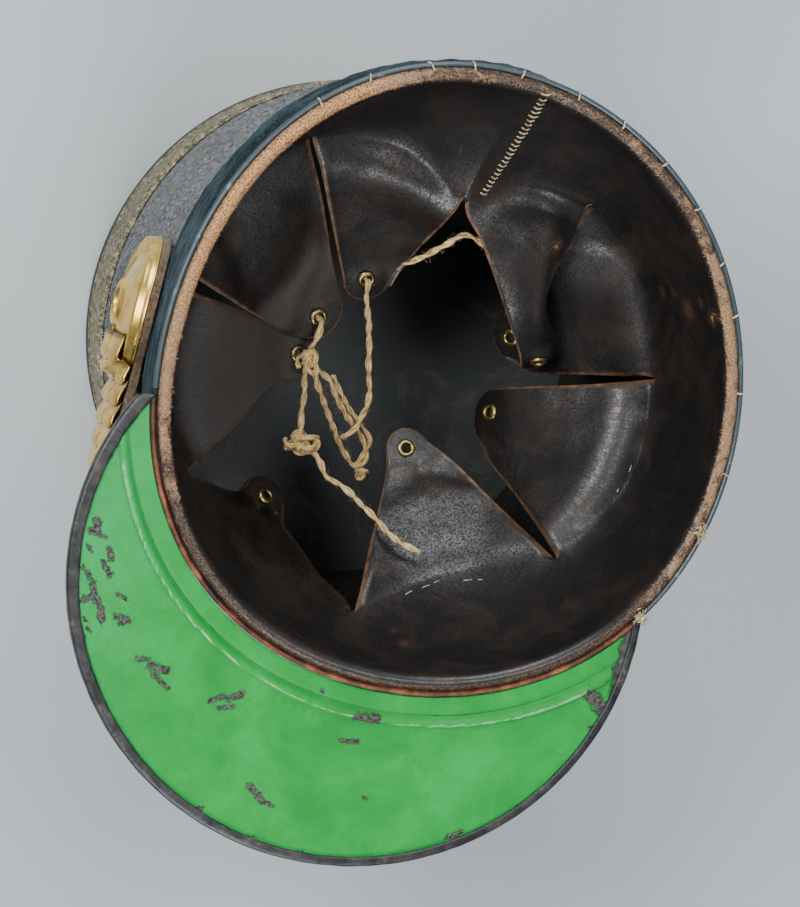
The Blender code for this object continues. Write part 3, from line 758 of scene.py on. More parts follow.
def nap_hair(draw, root, stand, rise, length):
    """A hair of the nap; its stand out of the wall, its rise and its length are ranges."""
    out = Vector((root.x, root.y, 0.0)).normalized()
    aside = Vector((-out.y, out.x, 0.0)) * draw.uniform(-1.0, 1.0)
    lean = out * draw.uniform(*stand) + aside + Vector((0, 0, draw.uniform(*rise)))
    return root, root + lean.normalized() * draw.uniform(*length)


def felt_hair(draw):
    turn = draw.uniform(0.0, 360.0)
    height = draw.uniform(0.031, 0.136)
    root = felt_point(turn, height, dent(turn, height) - 0.0002)
    return nap_hair(draw, root, (0.15, 0.8), (-1.0, 1.0), (0.0008, 0.0036))


fuzz = Paint("felt fuzz")
fuzz.wear(
    Base_Color=fuzz.blend(
        fuzz.clouds(0.004).over(0.4, 0.6), (0.110, 0.116, 0.120), (0.50, 0.515, 0.52)
    ),
    Roughness=0.9,
    Specular_IOR_Level=0.1,
)
shape = hairs(14000, felt_hair, 0.00008, 21)
piece("felt_fuzz", shape, fuzz, "felt")


# Crown. A flat disc of black varnished leather, sewn to the felt inside the lace; the hat
# rests on it. Inside the hat it is seen only as a dark ground below the tongues.
crown_leather = Paint("crown leather")
grain = crown_leather.clouds(0.0014, detail=6.0, rough=0.6)
scuffs = crown_leather.clouds(0.02, detail=5.0, rough=0.7, warp=1.5)
crown_leather.wear(
    Base_Color=crown_leather.blend(
        scuffs.over(0.50, 0.72), (0.056, 0.064, 0.066), (0.110, 0.114, 0.108)
    ),
    Roughness=scuffs * 0.30 + 0.40,
    Normal=crown_leather.bump(grain, 0.0004, 0.6),
)
CROWN_THICKNESS = 0.0025
CROWN = profile((
    (0.0, CROWN_THICKNESS), (0.045, CROWN_THICKNESS), (0.0868, CROWN_THICKNESS),
    (0.0874, 0.0018), (0.0872, 0.0008), (0.0864, 0.0), (0.045, 0.0), (0.0, 0.0),
))


def turned(line, u, v):
    """A point of a form turned about an axis, as across, up and out along the axis."""
    here = line.at(line.length * v)
    angle = math.tau * u
    return here.x * math.cos(angle), here.x * math.sin(angle), here.z


def crown_place(u, v):
    x, y, z = turned(CROWN, u, v)
    deep = CROWN_HALF_DEPTH / CROWN_HALF_WIDTH
    return Vector((x, y * deep, min(CROWN_THICKNESS, max(0.0, z))))


shape = bmesh.new()
skin(shape, 128, 60, crown_place, (0.55, CROWN.length))
piece("crown_disc", shape, crown_leather, "crown_leather", "crown_top")


# Gold lace. A woven metal-thread band round the crown edge, now faded to a dull drab with
# worn patches. A raised border runs along each side of its zigzag ground.
lace = Paint("faded gold lace")
weave = {"Scale": 420.0, "Distortion": 1.2, "Detail": 2.0}
threads = lace.node("ShaderNodeTexWave", {"bands_direction": "X"}, lace.along(), **weave)
lace_dirt = lace.clouds(0.012, detail=6.0, rough=0.7)
metal = lace.clouds(0.0018, detail=3.0, rough=0.7)
lace_colour = lace.ramp(
    metal, (0.36, (0.060, 0.050, 0.028)), (0.50, (0.25, 0.212, 0.120)), (0.64, (0.66, 0.57, 0.34))
)
lace.wear(
    Base_Color=lace.coats(
        lace_colour,
        (threads * 0.30, (0.11, 0.092, 0.058)),
        (lace_dirt.over(0.48, 0.66) * 0.60, (0.17, 0.165, 0.150)),
    ),
    Roughness=0.62,
    Metallic=0.30,
    Normal=lace.bump(threads + metal * 0.8, 0.0004, 0.8),
)


LACE_FOOT, LACE_TOP, LACE_BACK = 0.0016, 0.0310, 0.0003


def bell(gap, width):
    """1 where the gap is 0, falling softly to 0 over the width."""
    return math.exp(-((gap / width) ** 2))


def lace_bend(turn, off, height):
    """Zigzag ribs between two cord-like borders, on the outer face only."""
    if off < 0.0009:
        return off, height
    edge = min(height - LACE_FOOT, LACE_TOP - height)
    border = bell(edge - 0.0022, 0.0008) * 0.0006
    inside = clamp((edge - 0.0040) / 0.001)
    zigzag = abs((height * 260.0) % 2.0 - 1.0)
    ribs = 0.5 + 0.5 * math.cos(math.radians(turn) * 150.0 + zigzag * 3.0)
    worn = 0.6 + 0.4 * noise.noise(Vector((turn * 0.09, height * 60.0, 0.0)))
    return off + border + 0.00035 * ribs * inside * worn, height


LACE = (
    (LACE_BACK, LACE_FOOT), (0.0008, LACE_FOOT), (0.0013, 0.0020), (0.0014, 0.0034),
    (0.0014, 0.0160), (0.0014, 0.0290), (0.0013, 0.0304), (0.0008, LACE_TOP),
    (LACE_BACK, LACE_TOP), (LACE_BACK, 0.0160), (LACE_BACK, LACE_FOOT),
)
shape = hoop(LACE, 640, 40, bend=lace_bend)
piece("gold_lace", shape, lace, "gold_lace", "top_lace")


# Velvet band. A dark blue-green velvet ribbon round the mouth of the body, laid in slack
# lengthwise folds that wander and pinch, flattest under the chin strap's ends.
velvet = Paint("dark velvet")
pile = velvet.clouds(0.0009, detail=5.0, rough=0.7)
rubbed = velvet.clouds(0.016, velvet.where((1.0, 1.0, 2.6)), detail=4.0, rough=0.6, warp=0.6)
velvet.wear(
    Base_Color=velvet.coats(
        (0.0060, 0.0150, 0.0200),
        (rubbed.over(0.44, 0.68), (0.034, 0.056, 0.066)),
        (pile.over(0.45, 0.70) * 0.30, (0.090, 0.135, 0.150)),
    ),
    Roughness=0.85,
    Specular_IOR_Level=0.1,
    Sheen_Weight=0.14,
    Sheen_Roughness=0.30,
    Sheen_Tint=(0.55, 0.80, 0.95, 1.0),
    Normal=velvet.bump(pile, 0.0005, 0.7),
)


def turn_of(turn):
    return (turn + 180.0) % 360.0 - 180.0


def nearness(turn, centre, reach):
    share = max(0.0, 1.0 - abs(turn_of(turn - centre)) / reach)
    return share * share * (3.0 - 2.0 * share)


BAND_FOOT, BAND_TOP, BAND_FACE = 0.1340, 0.1668, 0.0012
# Columns: a fold's height above the band's foot, its share of the full fold, and its width
FOLDS = (
    (0.0035, 0.6, 0.0020), (0.0120, 1.0, 0.0026), (0.0185, 0.7, 0.0018), (0.0250, 0.9, 0.0024),
)


def band_bend(turn, off, height):
    """The folds, pressed flat below the strap's ends, and sunk a little in front."""
    if off < 0.0010:
        return off, height
    pressed = nearness(abs(turn_of(turn)), 82.0, 34.0)
    front = min(1.0, 1.4 * nearness(turn, 0.0, 84.0))
    fold = 0.0025 * (1.0 - 0.9 * pressed) * (1.0 - 0.75 * front)
    around = Vector((math.sin(math.radians(turn)), math.cos(math.radians(turn)), 0.0))
    drift = 0.0022 * noise.noise(around * 2.3) + 0.0010 * noise.noise(around * 7.0)
    rise = 0.0
    for at, share, wide in FOLDS:
        swell = share * (0.85 + 0.45 * noise.noise(around * 4.0 + Vector((0, 0, at * 300.0))))
        middle = BAND_FOOT + at + drift * (1.0 if at > 0.005 else 0.3)
        rise += swell * bell(height - middle, wide)
    crease = 0.0005 * noise.noise(Vector((around.x * 22.0, around.y * 22.0, height * 240.0)))
    free = clamp((height - 0.1343) / 0.001) * clamp((BAND_TOP - height) / 0.002)
    return off + (rise * fold + crease) * free, height - 0.0014 * front * (height > 0.160)


BAND = (
    (0.0003, BAND_FOOT), (0.0009, 0.1339), (BAND_FACE, 0.1345), (BAND_FACE, 0.1420),
    (BAND_FACE, 0.1500), (BAND_FACE, 0.1580), (BAND_FACE, 0.1655), (0.0010, 0.1667),
    (0.0003, BAND_TOP), (0.0003, 0.1500), (0.0003, BAND_FOOT),
)
shape = hoop(BAND, 420, 90, bend=band_bend)
piece("velvet_band", shape, velvet, "velvet", "lower_band")


def pile_hair(draw):
    turn = draw.uniform(0.0, 360.0)
    height = draw.uniform(0.1345, 0.1660)
    off, height = band_bend(turn, BAND_FACE, height)
    root = felt_point(turn, height, off - 0.0001)
    return nap_hair(draw, root, (0.1, 0.9), (-0.6, 1.0), (0.0003, 0.0011))


lint_paint = Paint("velvet lint")
lint_paint.wear(
    Base_Color=lint_paint.blend(
        lint_paint.clouds(0.005).over(0.45, 0.65), (0.012, 0.026, 0.034), (0.13, 0.22, 0.26)
    ),
    Roughness=0.85,
    Specular_IOR_Level=0.2,
)
shape = hairs(7000, pile_hair, 0.00006, 22)
piece("velvet_lint", shape, lint_paint, "velvet")


# Piping. A thin glossy black cord laid along the rim at the back and sides, where the band
# meets the turned-out leather. Its colour is painted blue-grey as reflection, and its worn
# patches take a painted pale blue reflection.
gloss = Paint("glossy piping")
wear_and_painted_reflection = gloss.clouds(0.004, detail=5.0)
gloss.wear(
    # Painted reflection: a blue-grey black with pale blue patches; the same patches are rougher as wear
    Base_Color=gloss.blend(wear_and_painted_reflection.over(0.55, 0.75), (0.028, 0.045, 0.056), (0.12, 0.16, 0.18)),
    Roughness=wear_and_painted_reflection * 0.30 + 0.22,
    Coat_Weight=0.3,
    Coat_Roughness=0.18,
)
PIPING_OFF, PIPING_HEIGHT, PIPING_RADIUS = 0.0013, 0.1683, 0.00085
PIPING = []
for i in range(13):
    angle = math.tau * i / 12
    off = PIPING_OFF + PIPING_RADIUS * math.cos(angle)
    PIPING.append((off, PIPING_HEIGHT + PIPING_RADIUS * math.sin(angle)))
shape = hoop(PIPING, 360, 16, 66.2, 293.8)
piece("rim_cord", shape, gloss, "piping", "rim_piping")


# Welt. A strip of red-brown leather between the body and the peak, with the peak's stitches
# hidden below it. Its edge is darker and cracked.
welt = Paint("red-brown leather")
welt_grain = welt.clouds(0.0012, detail=6.0, rough=0.7)
welt_patches = welt.clouds(0.008, detail=4.0)
welt_colour = welt.ramp(
    welt_patches, (0.35, (0.026, 0.009, 0.005)), (0.52, (0.110, 0.030, 0.011)),
    (0.68, (0.330, 0.120, 0.045)),
)
welt.wear(
    Base_Color=welt_colour,
    Roughness=0.48,
    Normal=welt.bump(welt_grain, 0.0005, 0.8),
)
WELT_END = 64.6
EDGE = (
    (0.0003, 0.1656), (0.0003, 0.1664), (0.0003, 0.1672), (0.0010, 0.1682),
    (0.0013, 0.1689), (0.0018, 0.1690), (0.0024, 0.1686), (0.0026, 0.1680),
    (0.0026, 0.1668), (0.0026, 0.1656), (0.0014, 0.1656), (0.0003, 0.1656),
)


def welt_bend(turn, off, height):
    wave = noise.noise(Vector((turn * 0.25, height * 500.0, 0.0)))
    return off + 0.00012 * wave, height + 0.00020 * wave * (height > 0.1675)


shape = hoop(EDGE, 320, 30, -WELT_END, WELT_END, bend=welt_bend)
piece("welt", shape, welt, "edge_leather", "body_edge")


# Sweatband. One sheet of thin black calfskin, turned out over the rim, sewn there, and cut
# from its lower edge into eight tongues with round tips. The cut edges show the tan core.

# Columns: turn, radius and height of each slit's end, and half its width there in degrees
NOTCHES = (
    (10.0, 0.0815, 0.1240, 0.45), (62.0, 0.0780, 0.1250, 0.45),
    (112.5, 0.0810, 0.1220, 0.30), (158.0, 0.0790, 0.1220, 0.25),
    (190.0, 0.0570, 0.1210, 0.45), (231.0, 0.0855, 0.1250, 0.35),
    (274.0, 0.0810, 0.1250, 1.60), (318.0, 0.0820, 0.1250, 0.45),
)
# Columns: eyelet's centre, the way the tip points, its dip, how far the tongue swells up,
# and how near its root the swell is
TONGUES = (
    (0.0165, -0.0250, 0.0900, 126.0, 14.0, 0.0008, 1.0),
    (0.0385, -0.0020, 0.0890, 192.0, 60.0, 0.0085, 0.72),
    (0.0356, 0.0240, 0.0830, 214.0, 48.0, 0.0010, 1.0),
    (0.0410, 0.0205, 0.1040, 297.0, 60.0, 0.0080, 1.0),
    (-0.0207, 0.0208, 0.0900, 297.0, 30.0, 0.0070, 0.55),
    (-0.0299, 0.0023, 0.0900, 340.0, 12.0, 0.0030, 1.0),
    (-0.0300, -0.0115, 0.0860, 22.0, 18.0, 0.0040, 1.0),
    (-0.0178, -0.0598, 0.0790, 77.0, 42.0, -0.0020, 1.0),
)
# The narrow rear tongue, pulled together towards its far side
SLIM_TONGUE = 3
# The turned-out lip, as stand-offs from the felt and heights
LIP = (
    (0.0, 0.1684), (-0.0003, 0.1689), (-0.0009, 0.16915), (-0.0016, 0.1693),
    (-0.0023, 0.16925), (-0.0030, 0.1689), (-0.0036, 0.1682), (-0.0039, 0.1650),
    (-0.0039, 0.1550),
)


def around_axis(turn, radius, height):
    angle = math.radians(turn)
    return Vector((radius * math.sin(angle), -radius * math.cos(angle), height))


def tip_frame(tongue):
    """The eyelet's centre, the way the tip points, the way across it, and its normal."""
    x, y, height, heading, dip = tongue[:5]
    level = Vector((math.cos(math.radians(heading)), math.sin(math.radians(heading)), 0.0))
    across = Vector((level.y, -level.x, 0.0))
    ahead = level * math.cos(math.radians(dip)) - Vector((0, 0, math.sin(math.radians(dip))))
    return Vector((x, y, height)), ahead, across, across.cross(ahead)


def tongue_root(index, share):
    """A point on the line between a tongue's two notches."""
    start, stop = NOTCHES[index], NOTCHES[(index + 1) % len(NOTCHES)]
    sweep = (stop[0] - start[0]) % 360.0 - start[3] - stop[3]
    turn = start[0] + start[3] + sweep * share
    bow, sag = (-0.0090, 0.0095) if index == 0 else (0.0035, 0.0018)
    arch = math.sin(math.pi * share)
    radius = mix(start[1], stop[1], share) + bow * arch
    return turn, around_axis(turn, radius, mix(start[2], stop[2], share) - sag * arch)


def tongue_line(index, share):
    """The run of the leather from the rim's outer edge to a point on the tongue's tip."""
    tongue = TONGUES[index]
    centre, ahead, across, _ = tip_frame(tongue)
    turn, root = tongue_root(index, share)
    points = [felt_point(turn, height, off) for off, height in LIP]
    hang = points[-1]
    middle = hang.lerp(root, 0.5)
    outward = Vector((middle.x, middle.y, 0.0)).normalized()
    points.append(middle + outward * 0.12 * (hang - root).xy.length)
    points.append(root)
    one, two, tip_one, tip_two, tip_reach = SHOULDERS[index]
    first = centre + ahead * -0.0065 + across * mix(-one, two, share)
    for along in (0.25, 0.5, 0.75):
        fullness = mix(0.45, 1.0, math.sin(math.pi * share))
        rise = tongue[5] * math.sin(math.pi * along ** tongue[6]) * fullness
        points.append(root.lerp(first, along) + Vector((0, 0, rise)))
    points.append(first)
    one, two = mix(one, tip_one * 0.927, 0.6), mix(two, tip_two * 0.927, 0.6)
    points.append(centre + ahead * -0.0010 + across * mix(-one, two, share))
    angle = math.radians(mix(22.0, 158.0, share))
    wide = tip_one if share < 0.5 else tip_two
    tip = ahead * math.sin(angle) * tip_reach - across * math.cos(angle) * wide
    points.append(centre + tip)
    if index == SLIM_TONGUE:
        far = tongue_line_end(points, share)
        for k, pull in ((11, 0.06), (12, 0.20), (13, 0.26)):
            points[k] += far[k] * pull * (1.0 - share)
    return points


def tongue_line_end(points, share):
    """How far the narrow rear tongue's points lie from its other side."""
    if share > 0.999:
        return [Vector()] * len(points)
    return [end - point for end, point in zip(tongue_line(SLIM_TONGUE, 1.0), points)]


def table(stops, at):
    """A value read from a table of rising places and values."""
    for (low, first), (high, last) in zip(stops, stops[1:]):
        if at <= high:
            share = max(0.0, (at - low) / (high - low))
            return mix(first, last, share * share * (3.0 - 2.0 * share))
    return stops[-1][1]


# How tan the turned lip is worn, by its turn from the front
TAN = (
    (0.0, 0.08), (24.0, 0.05), (52.0, 0.18), (74.0, 0.44), (100.0, 0.60), (125.0, 0.62),
    (160.0, 0.42), (190.0, 0.34), (210.0, 0.54), (228.0, 0.92), (250.0, 1.0), (272.0, 0.78),
    (300.0, 0.56), (320.0, 0.42), (342.0, 0.24), (360.0, 0.08),
)
# Each tongue's half widths behind its eyelet, its tip's half widths, and the tip's reach
SHOULDERS = (
    (0.0082, 0.0138, 0.0064, 0.0072, 0.0068), (0.0168, 0.0100, 0.0100, 0.0078, 0.0076),
    (0.0125, 0.0160, 0.0072, 0.0076, 0.0072), (0.0066, 0.0082, 0.0047, 0.0056, 0.0088),
    (0.0138, 0.0095, 0.0095, 0.0076, 0.0088), (0.0135, 0.0125, 0.0098, 0.0084, 0.0070),
    (0.0092, 0.0092, 0.0072, 0.0072, 0.0072), (0.0098, 0.0105, 0.0076, 0.0078, 0.0072),
)
TONGUE_WIDTH, TONGUE_LENGTH = 0.045, 0.062
# Creases: tongue, then share across and along for both ends, width in metres, and height
CREASES = (
    (0, 0.10, 0.66, 0.50, 0.72, 0.0050, -0.0002), (0, 0.50, 0.72, 1.00, 0.64, 0.0046, -0.0006),
    (0, 0.00, 0.16, 1.00, 0.14, 0.0110, 0.0012), (1, 0.00, 0.08, 1.00, 0.16, 0.0090, 0.0014),
    (2, 0.10, 0.10, 0.80, 0.45, 0.0090, 0.0020), (2, 0.60, 0.05, 0.95, 0.30, 0.0055, -0.0012),
    (3, 0.20, 0.10, 0.40, 0.60, 0.0070, 0.0012), (4, 0.10, 0.48, 0.80, 0.40, 0.0080, -0.0010),
    (5, 0.30, 0.20, 0.55, 0.55, 0.0080, 0.0012), (5, 0.15, 0.62, 0.90, 0.80, 0.0045, 0.0012),
    (5, 0.60, 0.10, 0.90, 0.50, 0.0055, -0.0010), (6, 0.20, 0.30, 0.75, 0.25, 0.0090, 0.0010),
    (7, 0.30, 0.20, 0.50, 0.80, 0.0080, 0.0012),
)


def crease_height(index, share, along):
    """The creases' height at a point of a tongue; along is 0 at its root and 1 at its tip."""
    here = Vector((share * TONGUE_WIDTH, along * TONGUE_LENGTH))
    total = 0.0
    for tongue, u1, s1, u2, s2, width, rise in CREASES:
        if tongue != index:
            continue
        one = Vector((u1 * TONGUE_WIDTH, s1 * TONGUE_LENGTH))
        two = Vector((u2 * TONGUE_WIDTH, s2 * TONGUE_LENGTH))
        line = two - one
        share_on = clamp((here - one).dot(line) / line.length_squared)
        gap = (here - one - line * share_on).length
        total += rise * bell(gap, width)
    return total


sweat = Paint("sweatband leather")
pores = sweat.clouds(0.0007, detail=3.0, rough=0.7)
grain = sweat.clouds(0.0022, detail=7.0, rough=0.7)
rub = sweat.clouds(0.020, detail=6.0, rough=0.65, warp=0.8)
ribs = sweat.clouds(1.0, sweat.along((1400.0, 120.0, 1.0)), detail=2.0, rough=0.5)
ribs_and_painted_sheen = sweat.mark("ribs")
cut = sweat.mark("cut")
reach = sweat.mark("reach")
tan_mark = sweat.mark("tan")
speckle = sweat.clouds(0.0006, detail=5.0, rough=0.8)
patch = sweat.clouds(0.0065, detail=5.0, rough=0.75, warp=0.6)
fray = sweat.clouds(0.0016, detail=5.0, rough=0.8)
worn_brown = sweat.clouds(0.012, detail=7.0, rough=0.75, warp=1.2)
rubbed = sweat.mark("worn")
# Dull leather: the listed spots, and the walls down to the notches at a little over half; it also takes painted shade
dull = sweat.mark("dull").largest(sweat.mark("along").over(0.02, -0.16) * 0.55)
worn = (worn_brown.over(0.58, 0.72) * 0.55 + rubbed * 0.9) * (speckle * 2.2 - 0.5)
flecks = speckle.over(0.56, 0.70) * rub.over(0.32, 0.55)
scar = (rubbed * (patch + speckle - 0.45)).over(0.55, 0.62)
tan_lip = sweat.ramp(
    speckle, (0.38, (0.060, 0.024, 0.010)), (0.49, (0.32, 0.155, 0.062)), (0.62, (0.80, 0.46, 0.200))
)
tan_lip = sweat.blend(tan_mark.over(0.92, 0.62) * 0.55, tan_lip, (0.165, 0.120, 0.085))
grey_lip = sweat.ramp(
    speckle, (0.40, (0.010, 0.007, 0.006)), (0.52, (0.055, 0.034, 0.024)), (0.66, (0.26, 0.155, 0.085))
)
is_tan = (tan_mark + (patch - 0.5) * 1.3).over(0.40, 0.62)
lip_colour = sweat.blend(is_tan, grey_lip, tan_lip)
lip_width = 1.5 + tan_mark * 3.7
is_lip = 1.0 - (reach + (fray - 0.5) * 3.2 - lip_width).over(-0.3, 0.3)
tan_core = sweat.ramp(speckle, (0.35, (0.10, 0.050, 0.028)), (0.62, (0.34, 0.185, 0.095)))
leather_colour = sweat.coats(
    (0.0050, 0.0045, 0.0045),
    (rub.over(0.42, 0.66), (0.022, 0.0145, 0.0115)),
    (worn.over(0.12, 0.75), (0.130, 0.062, 0.034)),
    (flecks * 0.55, (0.085, 0.050, 0.034)),
    # Painted sheen: a paler grey laid where the ribs mark is high
    (ribs_and_painted_sheen.over(0.20, 0.90) * 0.75, (0.085, 0.076, 0.070)),
    # Painted shade: near black where the leather is dull, on the walls and the listed spots
    (dull * 0.60, (0.0045, 0.0040, 0.0038)),
    (scar, (0.42, 0.23, 0.12)),
    (is_lip, lip_colour),
    (cut, tan_core),
)
surface = grain * 0.9 + pores + ribs * ribs_and_painted_sheen * 2.0
broken = (pores * 0.8 + grain * 0.2).over(0.42, 0.58)
broken = broken * (1.0 - ribs_and_painted_sheen * ribs.over(0.60, 0.40))
rolled = (reach.over(7.5, 5.0) * tan_mark.over(0.30, 0.12)) * (1.0 - is_lip)
sweat.wear(
    Base_Color=leather_colour,
    Roughness=(grain * 0.25 + 0.27 + dull * 0.45).largest(is_lip * 0.72).largest(cut * 0.75),
    Specular_IOR_Level=0.24,
    Coat_Weight=rolled * 0.60 + (1.0 - dull) * (broken * 0.90 + 0.15),
    Coat_Roughness=0.33,
    Normal=sweat.bump(surface, 0.0004, 0.75),
)

COLUMNS, LIP_ROWS, HIGH_ROWS, ROWS = 36, 14, 36, 104
# A run's samples for each of its points, and its points at the lip's and the notches' lines
RUN_STEPS, LIP_END, ROOT_END = 8, 8, 10
shape = bmesh.new()
for name in ("cut", "reach", "tan", "ribs", "share", "along", "tongue"):
    shape.verts.layers.float.new(name)
# The corners' marks; reach is the way along the leather from the rim, in millimetres
layer = {name: shape.verts.layers.float[name] for name in shape.verts.layers.float.keys()}


def run_of(index, share):
    """A line of the leather as a route, and how far along it the lip and the notches end."""
    route = Route(tongue_line(index, share), RUN_STEPS)
    return route, route.reached[LIP_END * RUN_STEPS], route.reached[ROOT_END * RUN_STEPS]


def row_reach(run, row):
    """The distance along a run at a row; one row stands on the line of the notches."""
    route, lip_at, root_at = run
    if row <= LIP_ROWS:
        return lip_at * row / LIP_ROWS
    if row <= HIGH_ROWS:
        return mix(lip_at, root_at, (row - LIP_ROWS) / (HIGH_ROWS - LIP_ROWS))
    return mix(root_at, route.length, (row - HIGH_ROWS) / (ROWS - HIGH_ROWS))


def add_tongue(index):
    """Adds one tongue with its stretch of the lip, and the bridge to the next tongue."""
    runs = [run_of(index, i / COLUMNS) for i in range(COLUMNS + 1)]
    following = run_of((index + 1) % len(TONGUES), 0.0)

    def place(u, v):
        run = runs[round(u * COLUMNS)]
        return run[0].at(row_reach(run, round(v * ROWS)))

    def bridge(u, v):
        row = round(v * HIGH_ROWS)
        one = runs[-1][0].at(row_reach(runs[-1], row))
        return one.lerp(following[0].at(row_reach(following, row)), u)

    def millimetres(u, v):
        return 1000.0 * row_reach(runs[round(u * COLUMNS)], round(v * ROWS))

    def bridge_millimetres(u, v):
        return 1000.0 * row_reach(runs[-1], round(v * HIGH_ROWS))

    def along_of(u, v):
        return (v * ROWS - HIGH_ROWS) / (ROWS - HIGH_ROWS)

    def cut_mark(u, v):
        """1 on a cut edge, and 0 half a millimetre in from it."""
        if v * ROWS <= HIGH_ROWS:
            return 0.0
        width = (place(0.0, v) - place(1.0, v)).length
        side = min(u, 1.0 - u) * width
        if index == SLIM_TONGUE and u < 0.5 and along_of(u, v) > 0.3:
            side = 1.0
        from_tip = runs[0][0].length * (1.0 - v) * 1.2
        uneven = 0.8 + 0.8 * noise.noise(Vector((u * 9.0, v * 30.0, index)))
        uneven *= 0.3 if index in (2, 7) and u > 0.5 or index == 7 else 1.0
        return uneven * max(0.0, 1.0 - min(from_tip, side) / 0.00040)

    def ribs_and_painted_sheen_of(u, v):
        """How far the leather is wrinkled into fine ribs, on the tongues that have them; where it is high, a paler
        grey is painted on as sheen.
        """
        s = along_of(u, v)
        if index == 6:
            return 0.9 * clamp(s * 6.0)
        if index == 1:
            return 0.55 * bell(s - 0.10 - 0.1 * u, 0.14)
        if index == 5:
            return bell(s - 0.72, 0.16)
        if index == 0:
            return 0.12 + 0.48 * clamp((s - 0.62) / 0.12)
        return 0.12

    def tan_of(u, v):
        return table(TAN, tongue_root(index, u)[0] % 360.0)

    skin(
        shape, COLUMNS, ROWS, place, (0.06, 0.12), cut=cut_mark, reach=millimetres, tan=tan_of,
        ribs=ribs_and_painted_sheen_of, share=lambda u, v: u, along=along_of, tongue=index,
    )
    skin(
        shape, 3, HIGH_ROWS, bridge, (0.002, 0.05), cut=0.0, reach=bridge_millimetres,
        tan=tan_of(1.0, 0.0), ribs=0.0, share=1.0, tongue=index,
        along=lambda u, v: (v - 1.0) * HIGH_ROWS / (ROWS - HIGH_ROWS),
    )


for index in range(len(TONGUES)):
    add_tongue(index)
bmesh.ops.remove_doubles(shape, verts=shape.verts[:], dist=WELD)
shape.normal_update()
funnel = [vert for vert in shape.verts if 12.0 < vert[layer["reach"]] < 16.0]
sign = 1.0 if sum(vert.normal.xy.dot(vert.co.xy) for vert in funnel) < 0.0 else -1.0
# The radius of leather kept flat for each eyelet, and of its hole
EYELET_SEAT, EYELET_HOLE = 0.0036, 0.0021
sheet = []
for vert in shape.verts:
    centre = tip_frame(TONGUES[round(vert[layer["tongue"]])])[0]
    near = clamp(((vert.co - centre).length - EYELET_SEAT) / 0.006)
    low = clamp((vert[layer["reach"]] - 7.0) / 5.0)
    sheet.append((vert, [edge.other_vert(vert) for edge in vert.link_edges], 0.8 * near * low))
SMOOTHINGS = 30
for _ in range(SMOOTHINGS):
    shape.normal_update()
    pulls = []
    for vert, ring, share in sheet:
        pull = sum((other.co for other in ring), Vector()) / len(ring) - vert.co
        pulls.append(vert.normal * (share * pull.dot(vert.normal)))
    for (vert, *_), pull in zip(sheet, pulls):
        vert.co += pull
shape.normal_update()
moves = []
for vert in shape.verts:
    share, along = vert[layer["share"]], vert[layer["along"]]
    index = round(vert[layer["tongue"]])
    centre = tip_frame(TONGUES[index])[0]
    normal = vert.normal * sign
    low = clamp((vert[layer["reach"]] - 8.0) / 8.0)
    free = clamp(along / 0.12)
    near = clamp(((vert.co - centre).length - EYELET_SEAT) / 0.004)
    side = min(share, 1.0 - share)
    ripple = 0.0010 * noise.noise(vert.co * 38.0) + 0.00022 * noise.noise(vert.co * 120.0)
    ripple += 0.00007 * noise.noise(vert.co * 420.0)
    curl = 0.0016 * max(0.0, 1.0 - side / 0.08) ** 2
    curl *= noise.noise(vert.co * 40.0 + Vector((3, 1, 2)))
    droop = -0.0058 * (1.0 - share) ** 2 if index == SLIM_TONGUE else 0.0
    height = ripple * low + crease_height(index, share, along) * low * min(1.0, side / 0.02)
    moves.append((vert, normal * (height + (curl + droop) * free) * near))
for vert, move in moves:
    vert.co += move
for vert in shape.verts:
    near_lip = max(0.0, 1.0 - vert[layer["reach"]] / 7.0)
    rough = noise.noise(vert.co * 600.0) + noise.noise(vert.co * 160.0)
    vert.co += vert.normal * 0.00022 * near_lip * rough


FRAME_WIDTH, FRAME_HEIGHT = 800.0, 907.0


def sight(x, y):
    """The line of sight through a pixel of the frame."""
    step = SENSOR / FRAME_HEIGHT / LENS
    toward = to_right * ((x - FRAME_WIDTH / 2) * step) - to_top * ((y - FRAME_HEIGHT / 2) * step)
    return camera.matrix_world.translation, (toward - to_eye).normalized()


# Where the leather is rubbed brown: the pixel, the radius in metres, and how strongly
RUBS = (
    (392, 162, 0.0080, 0.45), (372, 172, 0.0060, 0.35), (556, 246, 0.0040, 0.9),
    (664, 292, 0.0040, 0.7), (690, 310, 0.0055, 0.9), (714, 318, 0.0050, 0.9),
    (275, 514, 0.0012, 1.0), (404, 645, 0.0035, 0.8), (394, 632, 0.0030, 0.7),
    (570, 605, 0.0060, 0.5), (620, 590, 0.0060, 0.5), (640, 600, 0.0050, 0.7),
    (232, 240, 0.0070, 0.5), (215, 262, 0.0070, 0.5), (560, 160, 0.0060, 0.5),
    (240, 355, 0.0050, 0.5), (490, 240, 0.0090, 0.4), (345, 600, 0.0040, 0.6),
    (235, 365, 0.0170, 0.55), (225, 405, 0.0120, 0.50), (675, 292, 0.0030, 0.8),
    (703, 303, 0.0032, 0.9), (718, 316, 0.0030, 0.9), (545, 235, 0.0080, 0.45),
)
